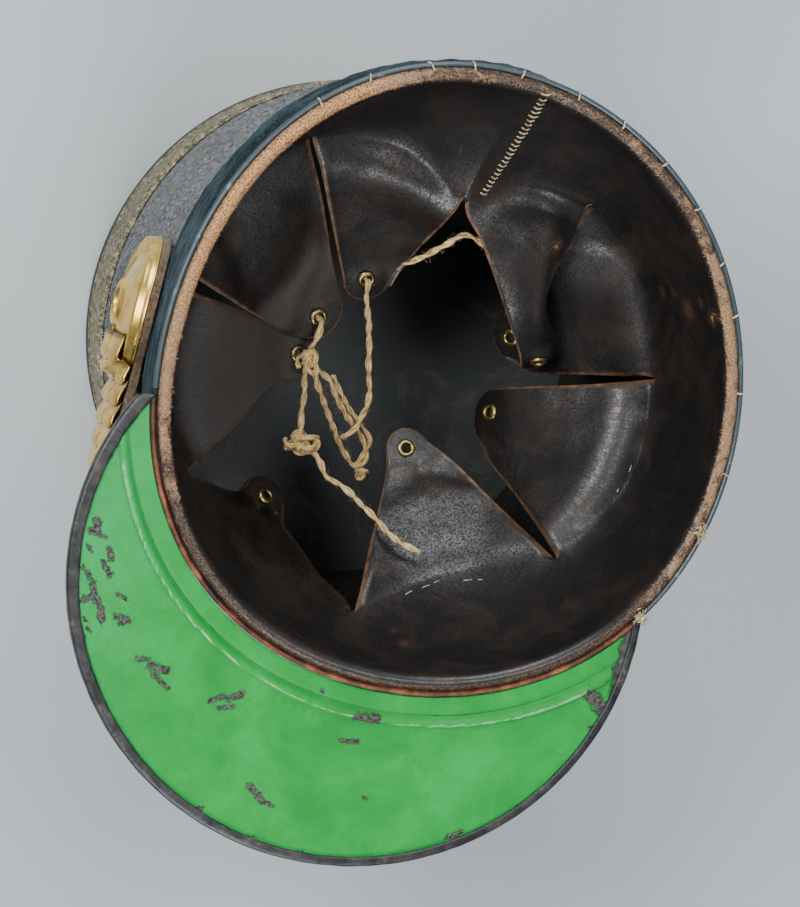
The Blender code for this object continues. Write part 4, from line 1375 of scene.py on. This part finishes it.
# Where its gloss is gone and its colour is painted darker as shade, in the same columns
DULL_AND_SHADE = (
    (505, 232, 0.0130, 0.7), (520, 285, 0.0130, 0.8), (532, 335, 0.0110, 0.8),
    (562, 212, 0.0120, 0.5), (545, 425, 0.0150, 0.6), (520, 410, 0.0100, 0.6),
    (560, 460, 0.0120, 0.8), (370, 112, 0.0120, 0.8), (420, 104, 0.0140, 0.8),
    (470, 112, 0.0140, 0.9), (495, 150, 0.0110, 0.8), (440, 148, 0.0100, 0.6),
    (640, 300, 0.0140, 0.5), (620, 350, 0.0110, 0.6), (250, 180, 0.0140, 0.5),
    (606, 312, 0.0130, 1.0), (572, 182, 0.0110, 0.7), (450, 632, 0.0160, 0.6),
    (280, 600, 0.0140, 0.6), (350, 645, 0.0140, 0.6), (585, 345, 0.0090, 0.7),
    (634, 470, 0.0075, 0.9), (613, 515, 0.0075, 0.9), (645, 432, 0.0070, 0.9),
    (642, 402, 0.0060, 0.8), (594, 543, 0.0060, 0.7), (630, 500, 0.0060, 0.9),
)
leather = BVHTree.FromBMesh(shape)
for name, spots in (("worn", RUBS), ("dull", DULL_AND_SHADE)):
    mark = shape.verts.layers.float.new(name)
    for x, y, radius, strength in spots:
        centre = leather.ray_cast(*sight(x, y))[0]
        if centre is None:
            continue
        for vert in shape.verts:
            gap = (vert.co - centre).length / radius
            if gap < 1.8:
                vert[mark] = max(vert[mark], strength * math.exp(-(gap**2) * 1.2))
holes = set()
for tongue in TONGUES:
    centre = Vector(tongue[:3])
    for vert in shape.verts:
        if (vert.co - centre).length < EYELET_HOLE:
            holes.update(vert.link_faces)
bmesh.ops.delete(shape, geom=list(holes), context="FACES")
SWEAT_WALL = 0.0012
band = piece("sweatband_leather", shape, sweat, "sweatband_leather", "sweatband", wall=SWEAT_WALL)
skived = band.vertex_groups.new(name="skived")
cuts = band.data.attributes["cut"].data
for index, value in enumerate(cuts):
    skived.add([index], 1.0 - 0.6 * min(1.0, value.value), "REPLACE")
band.modifiers["wall"].vertex_group = "skived"


# Sewing. Pale linen thread: whipstitches close the sweatband's own seam at the back, long
# tacks hold it over the rim, and two ends of it are left frayed on the right.
def on_leather(x, y, lift):
    """The point of the leather seen at a pixel, lifted towards the camera's side."""
    origin, toward = sight(x, y)
    spot, normal, _, _ = leather.ray_cast(origin, toward)
    if normal.dot(toward) > 0.0:
        normal = -normal
    return spot + normal * (SWEAT_WALL / 2 + lift)


linen = Paint("linen thread")
lint = linen.clouds(0.0008, detail=4.0, rough=0.7)
linen.wear(
    Base_Color=linen.ramp(
        lint, (0.38, (0.20, 0.13, 0.070)), (0.52, (0.50, 0.38, 0.23)), (0.68, (0.84, 0.72, 0.52))
    ),
    Roughness=0.85,
    Normal=linen.bump(lint, 0.0002, 0.6),
)
shape = bmesh.new()
# The back seam as pixels, from the rim down
SEAM = Route([(546, 94, 0), (528, 124, 0), (507, 157, 0), (483, 193, 0)], 8)
SEAM_STITCHES = 24
STITCH = ((-1.0, -0.0003), (-0.5, 0.0001), (0.0, 0.0003), (0.5, 0.0001), (1.0, -0.0003))
draw = random.Random(30)
for k in range(SEAM_STITCHES + 1):
    spot = SEAM.at(SEAM.length * k / SEAM_STITCHES)
    wide = mix(5.0, 3.2, k / SEAM_STITCHES) * draw.uniform(0.85, 1.2)
    tilt = draw.uniform(0.2, 1.0)
    line = []
    for share, lift in STITCH:
        sag = 0.9 * share**2
        line.append(on_leather(spot.x + wide * share, spot.y - sag + tilt * share, lift))
    tube(shape, Route(line, 3).evenly(0.0004), 0.00027, 6)
# Short stitches: the first end as a pixel, and the way to the other end
SHORT_STITCHES = (
    (405, 596, 7, -4), (422, 589, 8, -3), (434, 584, 5, -2), (463, 582, 9, -1), (478, 581, 4, 0),
    (629, 472, 2, -7), (617, 492, 1, -3),
)
for x, y, dx, dy in SHORT_STITCHES:
    line = [on_leather(x + dx * k / 4.0, y + dy * k / 4.0, 0.0001) for k in range(5)]
    tube(shape, line, 0.00016, 6)
TACK_TURNS = (
    96.5, 112.0, 127.0, 137.5, 149.0, 160.0, 171.5, 182.0, 193.5, 203.0, 211.0, 222.5, 232.5,
)
# A tack over the rim: the share of its lean, its stand-off and its height
TACK = (
    (0.0, 0.0022, 0.1680), (0.3, 0.0021, 0.1693), (0.6, 0.0009, 0.17005), (1.0, -0.0004, 0.1698),
)
for turn in TACK_TURNS:
    lean = 0.9 * math.sin(turn * 3.0)
    line = [felt_point(turn + lean * (share - 0.5), height, off) for share, off, height in TACK]
    tube(shape, Route(line, 4).evenly(0.0005), 0.00030, 7)
piece("linen_stitches", shape, linen, "hemp")


def frayed(shape, turn, off, height, seed):
    """A frayed knot of thread: small curls and loose ends."""
    draw = random.Random(seed)
    heart = felt_point(turn, height, off)
    for _ in range(11):
        size = draw.uniform(0.0009, 0.0019)
        tilt = Vector((draw.gauss(0, 1), draw.gauss(0, 1), draw.gauss(0, 1))).normalized()
        side = tilt.orthogonal().normalized()
        other = tilt.cross(side)
        start = draw.uniform(0.0, math.tau)
        here = heart + Vector([draw.uniform(-0.0008, 0.0008) for _ in range(3)])
        curl = []
        for k in range(10):
            angle = start + k * 0.55
            grow = size * (1.0 + 0.06 * k)
            curl.append(here + (side * math.cos(angle) + other * math.sin(angle)) * grow)
        tube(shape, Route(curl, 3).evenly(0.0004), draw.uniform(0.00010, 0.00022), 5)
    for _ in range(16):
        aim = Vector((draw.gauss(0, 1), draw.gauss(0, 1), draw.uniform(-0.2, 1.0))).normalized()
        reach_out = draw.uniform(0.002, 0.0045)
        bend = heart + aim * reach_out * 0.5 + Vector((0, 0, draw.uniform(-0.0006, 0.0006)))
        tube(shape, [heart, bend, heart + aim * reach_out], 0.00009, 4)


shape = bmesh.new()
frayed(shape, 84.6, -0.0006, 0.1705, 31)
frayed(shape, 65.6, 0.0012, 0.1708, 32)
piece("frayed_ends", shape, linen, "hemp")

LIP_RUN = profile(LIP)


def lip_hair(draw):
    """A fibre of the worn grain along the inner edge of the turned-out leather."""
    turn = draw.choice((draw.uniform(70.0, 220.0), draw.uniform(60.0, 300.0)))
    tan = table(TAN, turn)
    spot = LIP_RUN.at(0.001 * (1.2 + 3.7 * tan + draw.uniform(-1.0, 0.9)))
    root = felt_point(turn, spot.z + 0.0005, spot.x)
    out = Vector((root.x, root.y, 0.0)).normalized()
    aside = Vector((-out.y, out.x, 0.0))
    aim = -out * draw.uniform(0.1, 1.0) + aside * draw.uniform(-1.2, 1.2)
    aim += Vector((0, 0, draw.uniform(-0.25, 0.35)))
    return root, root + aim.normalized() * draw.uniform(0.0005, 0.0017)


grain_fibre = Paint("leather fibres")
grain_fibre.wear(
    Base_Color=grain_fibre.blend(
        grain_fibre.clouds(0.006).over(0.42, 0.60), (0.20, 0.090, 0.040), (0.72, 0.45, 0.24)
    ),
    Roughness=0.9,
)
shape = hairs(5200, lip_hair, 0.00005, 33)
piece("lip_fibres", shape, grain_fibre, "sweatband_leather")


# Eyelets. Rolled brass rings pressed through the tips of the tongues, dull and a little green.
brass = Paint("eyelet brass")
brass_wear = brass.clouds(0.0012, detail=5.0, rough=0.7)
brass.wear(
    Base_Color=brass.ramp(
        brass_wear, (0.35, (0.20, 0.15, 0.045)), (0.55, (0.48, 0.38, 0.13)), (0.75, (0.75, 0.64, 0.30))
    ),
    Roughness=brass_wear * 0.35 + 0.15,
    Metallic=0.95,
)
EYELET = profile((
    (0.0016, -0.0010), (0.0019, -0.0013), (0.0024, -0.0013), (0.0029, -0.0010), (0.0030, -0.0007),
    (0.0022, -0.0006), (0.0022, 0.0006), (0.0030, 0.0007), (0.0029, 0.0010), (0.0024, 0.0014),
    (0.0019, 0.0014), (0.0016, 0.0010), (0.00155, 0.0), (0.0016, -0.0010),
), 4)


def eyelet(number, tongue):
    centre, ahead, across, normal = tip_frame(tongue)

    def place(u, v):
        x, y, z = turned(EYELET, u, v)
        return centre + ahead * x + across * y + normal * z

    shape = bmesh.new()
    skin(shape, 32, 40, place, (0.015, EYELET.length))
    piece(f"brass_eyelet_{number}", shape, brass, "eyelet_brass", f"eyelet_{number}")


for number, tongue in enumerate(TONGUES, 1):
    eyelet(number, tongue)


# Peak. Thick leather, black and varnished outside, and painted a bright green inside. The
# paint is chipped down to the dark leather, and a pressed line follows the body's curve.
PEAK_HALF_WIDTH, PEAK_HALF_DEPTH, PEAK_CENTRE, PEAK_HEIGHT = 0.0933, 0.0900, 0.0680, 0.1672


def peak_outline(turn, inset):
    """Where a ray from the axis meets the ellipse of the peak's outer edge, less an inset."""
    angle = math.radians(turn)
    across, ahead = PEAK_HALF_WIDTH - inset, PEAK_HALF_DEPTH - inset
    sine, cosine = math.sin(angle), math.cos(angle)
    square = (sine / across) ** 2 + (cosine / ahead) ** 2
    linear = -PEAK_CENTRE * cosine / ahead**2
    constant = (PEAK_CENTRE / ahead) ** 2 - 1.0
    distance = (-linear + math.sqrt(linear**2 - square * constant)) / square
    return Vector((distance * sine, -distance * cosine, PEAK_HEIGHT))


peak = Paint("green peak leather")
veins = peak.clouds(0.0030, detail=8.0, rough=0.7)
mottle = peak.clouds(0.022, detail=4.0, rough=0.6, warp=0.5)
chips = peak.clouds(0.014, detail=8.0, rough=0.75, warp=0.3)
specks = peak.clouds(0.0022, detail=4.0, rough=0.7)
fine = peak.clouds(0.0009, detail=4.0, rough=0.7)
flake = peak.clouds(0.0032, detail=8.0, rough=0.85, warp=1.0)
scratches = peak.clouds(1.0, peak.where((60.0, 1300.0, 1.0), (0.0, 0.0, 0.6)), detail=2.0)
chip_mark = peak.mark("chip")
press_mark = peak.mark("press")
# A painted highlight: a pale green line, broken by the veins, along the crest of the pressed bead
ridge = (peak.mark("ridge") * (0.5 + veins)).over(0.72, 1.10)
bluish = peak.node("ShaderNodeSeparateXYZ", {}, peak.where(), out=0).over(-0.035, -0.110)
chip = (chips + peak.mark("rim") * 0.14 + press_mark * 0.04).over(0.665, 0.680)
chip = chip.largest((chip_mark + (flake - 0.5) * 3.4).over(0.44, 0.54) * chip_mark.over(0.03, 0.16))
chip = chip.largest(specks.over(0.735, 0.750) * 0.85)
chip = chip.largest((scratches + chip_mark * 0.08).over(0.765, 0.79) * 0.5)
worn_end = (peak.mark("worn_end") + (flake - 0.5) * 1.1).over(0.42, 0.60)
peak_colour = peak.coats(
    peak.ramp(
        mottle, (0.32, (0.002, 0.225, 0.028)), (0.52, (0.004, 0.290, 0.040)),
        (0.72, (0.010, 0.345, 0.062)),
    ),
    (veins.over(0.56, 0.72) * 0.30, (0.004, 0.155, 0.028)),
    (press_mark * 0.45, (0.035, 0.160, 0.050)),
    # Painted highlight on the bead's crest
    (ridge * 0.80, (0.36, 0.64, 0.38)),
    (bluish * 0.40, (0.050, 0.350, 0.140)),
    (fine.over(0.40, 0.62) * 0.22, (0.006, 0.170, 0.034)),
    (chip, peak.ramp(fine, (0.40, (0.014, 0.016, 0.013)), (0.62, (0.115, 0.112, 0.100)))),
    (worn_end, peak.ramp(veins, (0.35, (0.022, 0.022, 0.022)), (0.65, (0.085, 0.085, 0.082)))),
)
bare = chip.largest(worn_end)
true_normal = peak.node("ShaderNodeNewGeometry", {}, out=3)
inside = peak.node("ShaderNodeSeparateXYZ", {}, true_normal, out=2).over(-0.30, 0.30)
varnish = peak.ramp(mottle, (0.35, (0.007, 0.007, 0.008)), (0.70, (0.024, 0.023, 0.022)))
peak.wear(
    Base_Color=peak.blend(inside, varnish, peak_colour),
    Roughness=(veins * 0.25 + 0.34).largest(bare * 0.7) * (inside * 0.45 + 0.55),
    Specular_IOR_Level=0.20,
    Normal=peak.bump(veins * 0.5 - bare * 0.9, 0.0004, 0.8),
)

# Chips in the paint: both ends of a stroke as pixels, and its half width in metres
CHIPS = (
    (97, 520, 100, 534, 0.0014), (91, 530, 104, 536, 0.0010), (87, 545, 92, 552, 0.0007),
    (110, 549, 112, 559, 0.0010), (103, 562, 110, 575, 0.0010), (83, 567, 90, 576, 0.0009),
    (93, 585, 96, 601, 0.0012), (79, 601, 94, 596, 0.0010), (98, 598, 104, 619, 0.0010),
    (99, 613, 102, 621, 0.0010), (118, 594, 126, 599, 0.0008), (117, 616, 129, 621, 0.0012),
    (120, 624, 126, 622, 0.0008), (84, 618, 86, 620, 0.0007), (87, 628, 91, 632, 0.0007),
    (137, 659, 150, 660, 0.0008), (150, 666, 166, 670, 0.0015), (154, 675, 160, 681, 0.0010),
    (162, 683, 168, 689, 0.0007), (210, 702, 224, 696, 0.0009), (229, 699, 244, 692, 0.0010),
    (219, 708, 234, 706, 0.0008), (341, 741, 357, 742, 0.0009), (250, 786, 262, 800, 0.0012),
    (262, 800, 272, 806, 0.0009), (592, 696, 606, 712, 0.0026), (365, 798, 366, 799, 0.0007),
    (322, 690, 323, 691, 0.0007), (355, 716, 378, 719, 0.0009), (448, 838, 462, 832, 0.0008),
)
# The ends of the peak where the paint is worn right off
WORN_ENDS = (
    (643, 634, 637, 650, 0.0066), (637, 650, 630, 675, 0.0068), (630, 675, 622, 695, 0.0052),
)
# Small raised dots, as pixels
DOTS = ((281, 700), (291, 706), (301, 711), (311, 715), (321, 719), (307, 699), (322, 707))


# The height of the peak's upper face, and the depth below which its lines die out
PEAK_FACE, NARROW = 0.1685, 0.02


def on_peak(x, y):
    """The point of the peak's upper face seen at a pixel."""
    origin, toward = sight(x, y)
    return origin + toward * ((PEAK_FACE - origin.z) / toward.z)


def peak_ends(u):
    """The two ends of a line of the peak, on the body and at its outer edge."""
    inner = felt_point(mix(-WELT_END, WELT_END, u), PEAK_HEIGHT, 0.0029)
    ray = math.degrees(math.atan2(inner.x, -inner.y))
    return inner, peak_outline(ray, 0.0010)


def peak_place(u, v):
    inner, outer = peak_ends(u)
    depth = (outer - inner).length
    reach = depth * v
    here = inner.lerp(outer, v)
    rise = 0.00120 * bell(reach - 0.0083, 0.0009) + 0.00045 * bell(reach - 0.0087, 0.00035)
    rise -= 0.00060 * bell(reach - 0.0060, 0.0009)
    wave = 0.0007 * noise.noise(here * 24.0) + 0.00025 * noise.noise(here * 80.0)
    inside = min(1.0, reach / 0.004) * min(1.0, (depth - reach) / 0.004)
    return here + Vector((0, 0, rise * min(1.0, depth / NARROW) + wave * max(0.0, inside)))


def peak_rim(u, v):
    inner, outer = peak_ends(u)
    return max(0.0, 1.0 - (outer - inner).length * (1.0 - v) / 0.007)


def peak_line(at, width):
    """The mark of a line at a distance from the body; it dies out where the peak is narrow."""

    def mark(u, v):
        inner, outer = peak_ends(u)
        depth = (outer - inner).length
        return bell(depth * v - at, width) * min(1.0, depth / NARROW)

    return mark


shape = bmesh.new()
skin(
    shape, 320, 104, peak_place, (0.26, 0.07),
    rim=peak_rim, press=peak_line(0.0062, 0.0010), ridge=peak_line(0.0087, 0.00045),
)
for name, spots in (("chip", CHIPS), ("worn_end", WORN_ENDS)):
    mark = shape.verts.layers.float.new(name)
    for x_one, y_one, x_two, y_two, radius in spots:
        one, two = on_peak(x_one, y_one).xy, on_peak(x_two, y_two).xy
        middle, line = (one + two) / 2.0, two - one
        span = line.length / 2.0 + 2.0 * radius
        for vert in shape.verts:
            here = vert.co.xy
            if abs(here.x - middle.x) > span or abs(here.y - middle.y) > span:
                continue
            share = clamp((here - one).dot(line) / line.length_squared)
            gap = (here - one - line * share).length
            vert[mark] = max(vert[mark], bell(gap, radius))
for x, y in DOTS:
    centre = on_peak(x, y)
    for vert in shape.verts:
        gap = (vert.co.xy - centre.xy).length
        if gap < 0.002:
            vert.co.z += 0.00045 * bell(gap, 0.00075)
piece("peak", shape, peak, "visor_leather", "visor", wall=0.0020)

binding = Paint("black binding leather")
bind_wear = binding.clouds(0.006, detail=6.0, rough=0.7)
binding.wear(
    Base_Color=binding.ramp(
        bind_wear, (0.40, (0.008, 0.009, 0.010)), (0.60, (0.030, 0.030, 0.030)),
        (0.76, (0.17, 0.115, 0.065)),
    ),
    Roughness=bind_wear * 0.35 + 0.22,
    Normal=binding.bump(bind_wear, 0.0005, 0.7),
)
BIND_END = 64.2
BIND = profile((
    (0.0033, 0.0013), (0.0031, 0.0020), (0.0016, 0.0020), (0.0004, 0.0017), (0.0, 0.0008),
    (0.0, -0.0008), (0.0004, -0.0017), (0.0016, -0.0020), (0.0031, -0.0020), (0.0033, -0.0013),
    (0.0012, -0.0013), (0.0008, -0.0008), (0.0008, 0.0008), (0.0012, 0.0013), (0.0033, 0.0013),
), 5)


def bind_place(u, v):
    here = BIND.at(BIND.length * v)
    turn = mix(-BIND_END, BIND_END, u)
    aside = turn / BIND_END
    inset = here.x * (1.0 + 0.28 * max(0.0, -aside) - 0.15 * max(0.0, aside))
    wobble = 0.00018 * noise.noise(Vector((turn * 0.5, here.x * 900.0, here.z * 900.0)))
    return peak_outline(turn, inset + wobble) + Vector((0, 0, here.z + wobble * 0.5))


shape = bmesh.new()
skin(shape, 260, 44, bind_place, (0.24, 0.01))
close_up(shape)
piece("peak_binding", shape, binding, "binding_leather", "visor_binding")


# Chin scales. Overlapping gilt scales, each pressed into three lobes, sewn to a suede strap
# that hangs from a domed rosette at each temple. A plain clasp joins the halves in front.
suede = Paint("brown suede")
suede_nap = suede.clouds(0.0016, detail=6.0, rough=0.75)
suede.wear(
    Base_Color=suede.ramp(
        suede_nap, (0.35, (0.050, 0.028, 0.014)), (0.55, (0.15, 0.095, 0.050)),
        (0.75, (0.30, 0.21, 0.12)),
    ),
    Roughness=0.92,
    Sheen_Weight=0.2,
    Normal=suede.bump(suede_nap, 0.0005, 0.8),
)
gilt = Paint("worn gilt")
gilt_wear = gilt.clouds(0.0040, detail=7.0, rough=0.7)
gilt_tarnish = gilt.clouds(0.012, detail=5.0, rough=0.65, warp=0.6)
gilt.wear(
    Base_Color=gilt.coats(
        (0.88, 0.60, 0.165),
        (gilt_tarnish.over(0.42, 0.66), (0.60, 0.36, 0.085)),
        (gilt_wear.over(0.58, 0.70) * 0.6, (0.20, 0.115, 0.035)),
        # Painted shade: dark between the scales' lobes, at their ends, and in the rosette's middle recess
        (gilt.mark("deep"), (0.070, 0.038, 0.014)),
    ),
    Roughness=gilt_wear * 0.30 + 0.14,
    Metallic=0.95,
    Normal=gilt.bump(gilt_wear, 0.0002, 0.4),
)
STRAP_SEAT = (
    (98.0, 0.0020, 0.1240), (90.0, 0.0020, 0.1245), (82.0, 0.0020, 0.1250),
    (74.0, 0.0021, 0.1260), (67.0, 0.0026, 0.1270),
)
STRAP_BOW = (
    (0.0846, 0.0480, 0.1285), (0.0828, 0.0600, 0.1310), (0.0786, 0.0750, 0.1345),
    (0.0705, 0.0910, 0.1385), (0.0565, 0.1065, 0.1425), (0.0370, 0.1180, 0.1455),
    (0.0170, 0.1232, 0.1470), (0.0, 0.1245, 0.1472),
)
ROSETTE_AT, ROSETTE_RADIUS, BACKING = 0.0325, 0.0225, 0.0024
ROSETTE = profile((
    (0.0, 0.0022), (0.0022, 0.0023), (0.0042, 0.0030), (0.0050, 0.0050), (0.0055, 0.0068),
    (0.0062, 0.0072), (0.0070, 0.0066), (0.0078, 0.0056), (0.0095, 0.0050), (0.0125, 0.0044),
    (0.0150, 0.0036), (0.0170, 0.0026), (0.0181, 0.0019), (0.0186, 0.0024), (0.0190, 0.0035),
    (0.0194, 0.0036), (0.0198, 0.0024), (0.0202, 0.0019), (0.0206, 0.0024), (0.0210, 0.0036),
    (0.0215, 0.0036), (0.0220, 0.0024), (0.0225, 0.0014), (0.0225, 0.0004), (0.0221, 0.0),
    (0.0110, 0.0), (0.0, 0.0),
), 5)
# How far the scales rise over the rosette's place, by the distance from its middle
DOME = (
    (0.0, 0.0072), (0.0062, 0.0072), (0.0078, 0.0056), (0.0125, 0.0044), (0.0181, 0.0036),
    (0.0220, 0.0036), (0.0236, 0.0),
)
DOME_REACH = 0.0236
SCALES = 18
# How far the backing shows round the gilt, and its section as shares across and out
MARGIN = 0.0007
SECTION = ((-1, 0.0), (-1, 1.0), (1, 1.0), (1, 0.0), (-1, 0.0))


def lobe_of(u):
    """How far across a scale a place round it is, and how far its lobe bulges there."""
    over = u * 2.0 if u <= 0.5 else 2.0 - u * 2.0
    across = over * 2.0 - 1.0
    lobe = (across + 1.0) * 1.5 % 1.0 if across < 0.9999 else 1.0
    return across, math.sqrt(max(0.0, 1.0 - (2.0 * lobe - 1.0) ** 2))


def scale_shade(u, v):
    """How much painted shade darkens a scale: between its lobes and at both its ends."""
    _, bulge = lobe_of(u)
    return max(max(0.0, 1.0 - bulge * 2.2), max(0.0, (v - 0.93) * 9.0), 0.7 * (v < 0.12))


# Painted shade in the rosette's middle recess
def rosette_shade(u, v):
    return 0.85 * (ROSETTE.at(ROSETTE.length * v).x < 0.0047 and v < 0.5)


def half_strap(word, side):
    """One half of the chin strap: its backing, its scales and its rosette."""
    points = [felt_point(side * turn, height, off) for turn, off, height in STRAP_SEAT]
    points += [Vector((side * x, -ahead, height)) for x, ahead, height in STRAP_BOW]
    route = Route(points)
    reach = route.length - 0.0010

    def strap_point(distance, across, out):
        """A point along the strap, up from its middle, and out from its inner face."""
        here = route.at(distance)
        ahead = route.at(distance + 0.0015) - route.at(distance - 0.0015)
        outward = Vector((ahead.y, -ahead.x, 0.0)).normalized()
        if outward.dot(here) < 0.0:
            outward = -outward
        return here + outward * (out + 0.04 * across) + Vector((0, 0, across))

    def half_width(distance):
        share = (distance - ROSETTE_AT) / (route.length - ROSETTE_AT)
        return mix(0.0165, 0.0100, clamp(share))

    def backing_half(distance):
        """The backing's half width, round where it lies under the rosette."""
        radius = ROSETTE_RADIUS + MARGIN
        half = half_width(distance) + MARGIN
        from_centre = distance - ROSETTE_AT
        if abs(from_centre) < radius:
            round_half = math.sqrt(max(0.0, radius**2 - from_centre**2))
            half = round_half if from_centre < 0 else max(half, round_half)
        return half

    rear = ROSETTE_AT - ROSETTE_RADIUS - MARGIN + 0.00015

    def back_place(u, v):
        distance = mix(rear, reach, u)
        half = backing_half(distance)
        corner = min(3, int(v * 4))
        share = v * 4 - corner
        one, two = SECTION[corner], SECTION[corner + 1]
        across, out = mix(one[0], two[0], share), mix(one[1], two[1], share)
        fluff = 0.00015 * noise.noise(Vector((distance * 700.0, across * 9.0, out * 4.0)))
        return strap_point(distance, half * across + fluff, BACKING * out)

    shape = bmesh.new()
    skin(shape, 200, 28, back_place, (0.16, 0.04))
    close_up(shape)
    piece(f"suede_backing_{word}", shape, suede, "strap_suede", f"strap_{word}")

    base = BACKING + 0.0003
    first_scale = ROSETTE_AT + ROSETTE_RADIUS + 0.0003
    pitch = (reach - 0.0085 - first_scale) / SCALES
    shape = bmesh.new()
    for index in range(-2, SCALES):
        start = first_scale + pitch * index
        long = pitch * 1.36 if index < SCALES - 1 else pitch

        def scale_place(u, v, start=start, long=long):
            """One scale: u goes round it from its upper face to its lower, v along it."""
            across, bulge = lobe_of(u)
            end = long - pitch * 0.42 * (1.0 - bulge)
            distance = start + end * v
            half = half_width(distance)
            dome = 0.0014 * (1.0 - across**2)
            round_end = math.sqrt(max(0.0, 1.0 - max(0.0, (v - 0.55) / 0.45) ** 2))
            swell = 0.0021 * bulge * round_end * min(1.0, 0.35 + v)
            out = 0.0002 + dome + 0.0013 * v + swell
            if u > 0.5:
                out -= 0.00055 + swell * 0.6
            from_centre = math.hypot(distance - ROSETTE_AT, half * across)
            out += table(DOME, from_centre) if distance < ROSETTE_AT + DOME_REACH else 0.0
            return strap_point(distance, half * across, base + max(0.0, out))

        skin(shape, 96, 13, scale_place, (0.05, 0.008), deep=scale_shade)
    close_up(shape)
    piece(f"gilt_scales_{word}", shape, gilt, "gilt", f"scales_{word}")

    def rosette_place(u, v):
        x, y, z = turned(ROSETTE, u, v)
        return strap_point(ROSETTE_AT + x, y, base + z)

    shape = bmesh.new()
    skin(shape, 96, 120, rosette_place, (0.14, 0.05), deep=rosette_shade)
    piece(f"gilt_rosette_{word}", shape, gilt, "gilt", f"rosette_{word}")
    return route.at(route.length)


half_strap("left", -1)
front = half_strap("right", 1)
CLASP = profile((
    (0.0, 0.0012), (0.0040, 0.0012), (0.0056, 0.0010), (0.0062, 0.0014), (0.0068, 0.0013),
    (0.0074, 0.0007), (0.0075, 0.0), (0.0074, -0.0004), (0.0040, -0.0004), (0.0, -0.0004),
), 5)
CLASP_GAP = 0.0009


def clasp_place(u, v):
    x, y, z = turned(CLASP, u, v)
    return Vector((x, front.y - BACKING - CLASP_GAP - z, front.z + y))


shape = bmesh.new()
skin(shape, 64, 45, clasp_place, (0.05, 0.015))
piece("clasp", shape, gilt, "gilt", "strap_clasp")


new_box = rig.bounds()
with open("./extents.json", "w") as file:
    json.dump({"cad": [list(v) for v in cad_box], "new": [list(v) for v in new_box]}, file)
